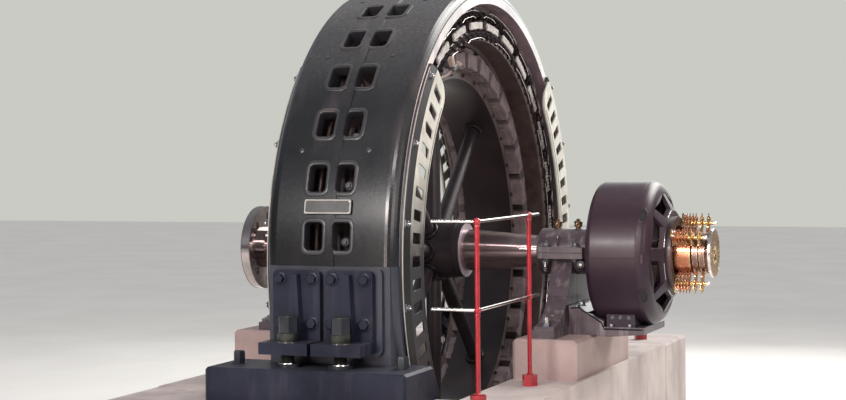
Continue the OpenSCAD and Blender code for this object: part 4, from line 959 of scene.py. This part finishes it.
def sky(name, direction, strength, spread, tone):
    """Soft light from one direction, spread over some degrees"""
    data = bpy.data.lights.new(name, "SUN")
    data.energy = strength
    data.angle = math.radians(spread)
    data.color = tone
    obj = bpy.data.objects.new(name, data)
    obj.rotation_euler = Vector(direction).to_track_quat("Z", "Y").to_euler()
    scene.collection.objects.link(obj)


def world_light():
    """A pale wall for the camera, and a dim room, lighter above, for everything else"""
    w = bpy.data.worlds.new("room")
    scene.world = w
    w.use_nodes = True
    t = w.node_tree
    n = t.nodes
    n.clear()
    out = n.new("ShaderNodeOutputWorld")
    shown = n.new("ShaderNodeBackground")
    shown.inputs["Color"].default_value = (0.62, 0.63, 0.58, 1)
    shown.inputs["Strength"].default_value = 0.95
    lit = n.new("ShaderNodeBackground")
    lit.inputs["Strength"].default_value = 0.3
    coord = n.new("ShaderNodeTexCoord")
    split = n.new("ShaderNodeSeparateXYZ")
    ramp = n.new("ShaderNodeValToRGB")
    ramp.color_ramp.elements[0].position = 0.45
    ramp.color_ramp.elements[0].color = (0.32, 0.28, 0.27, 1)
    ramp.color_ramp.elements[1].position = 0.75
    ramp.color_ramp.elements[1].color = (0.86, 0.92, 1.0, 1)
    link(t, coord.outputs["Generated"], split.inputs[0])
    link(t, ranged(t, split.outputs["Z"], -1), ramp.inputs["Fac"])
    link(t, ramp.outputs["Color"], lit.inputs["Color"])
    path = n.new("ShaderNodeLightPath")
    mix = n.new("ShaderNodeMixShader")
    link(t, path.outputs["Is Camera Ray"], mix.inputs[0])
    link(t, lit.outputs[0], mix.inputs[1])
    link(t, shown.outputs[0], mix.inputs[2])
    link(t, mix.outputs[0], out.inputs[0])


def camera():
    """The photograph's viewpoint, solved from the ring's ellipses, in metres and radians"""
    data = bpy.data.cameras.new("camera")
    obj = bpy.data.objects.new("camera", data)
    scene.collection.objects.link(obj)
    scene.camera = obj
    data.sensor_width = 36
    data.lens = 75.55
    data.shift_y = -0.0602
    data.clip_end = 200
    yaw, roll = 0.3673, -0.008
    level = Vector((math.cos(yaw), math.sin(yaw), 0))
    ahead = Vector((-math.sin(yaw), math.cos(yaw), 0))
    plumb = Vector((0, 0, 1))
    right = math.cos(roll) * level + math.sin(roll) * plumb
    up = -math.sin(roll) * level + math.cos(roll) * plumb
    m = Matrix((right, up, -ahead)).transposed().to_4x4()
    m.translation = ORIGIN + Vector((3.8601, -10.1984, 0.6164))
    obj.matrix_world = m


pale_floor()
world_light()
camera()
sky("daylight", (0.55, 0.75, 0.95), 1.7, 28, (1.0, 0.99, 0.96))
area("high_windows", (3.5, 7.0, 7.0), (0.3, 0, 1.8), (7, 3.5), 500, (1.0, 0.98, 0.94))
area("back_wall", (-0.8, 9.0, 4.2), (0.2, 0, 1.8), (9, 4.5), 260, (0.97, 1.0, 0.97))
area("left_windows", (-8.0, 2.0, 5.5), (0, 0, 1.8), (5, 4), 40, (0.88, 0.95, 1.0))
area("front_room", (-3.5, -10.0, 5.0), (0, -1, 1.6), (6, 4), 15, (0.85, 0.88, 1.0))
area("front_window", (-1.6, -9.4, 4.7), (0.3, 0, 1.6), (2.0, 0.9), 400, (1.0, 0.94, 0.91))
area("front_door", (-1.4, -9.8, 1.6), (0.2, -1.6, 1.6), (0.8, 2.0), 75, (1.0, 0.84, 0.78))
area("right_window", (2.2, -7.0, 6.6), (0.6, 0, 1.6), (4.0, 0.6), 205, (1.0, 0.88, 0.88))
area("right_room", (9.0, -3.5, 4.5), (1.0, 0, 1.5), (4, 4), 120, (1.0, 0.90, 0.88))
area("floor_bounce", (2.2, -3.2, 2.7), (0.3, 1.1, 2.1), (1.2, 1.2), 20, (1.0, 0.88, 0.86))
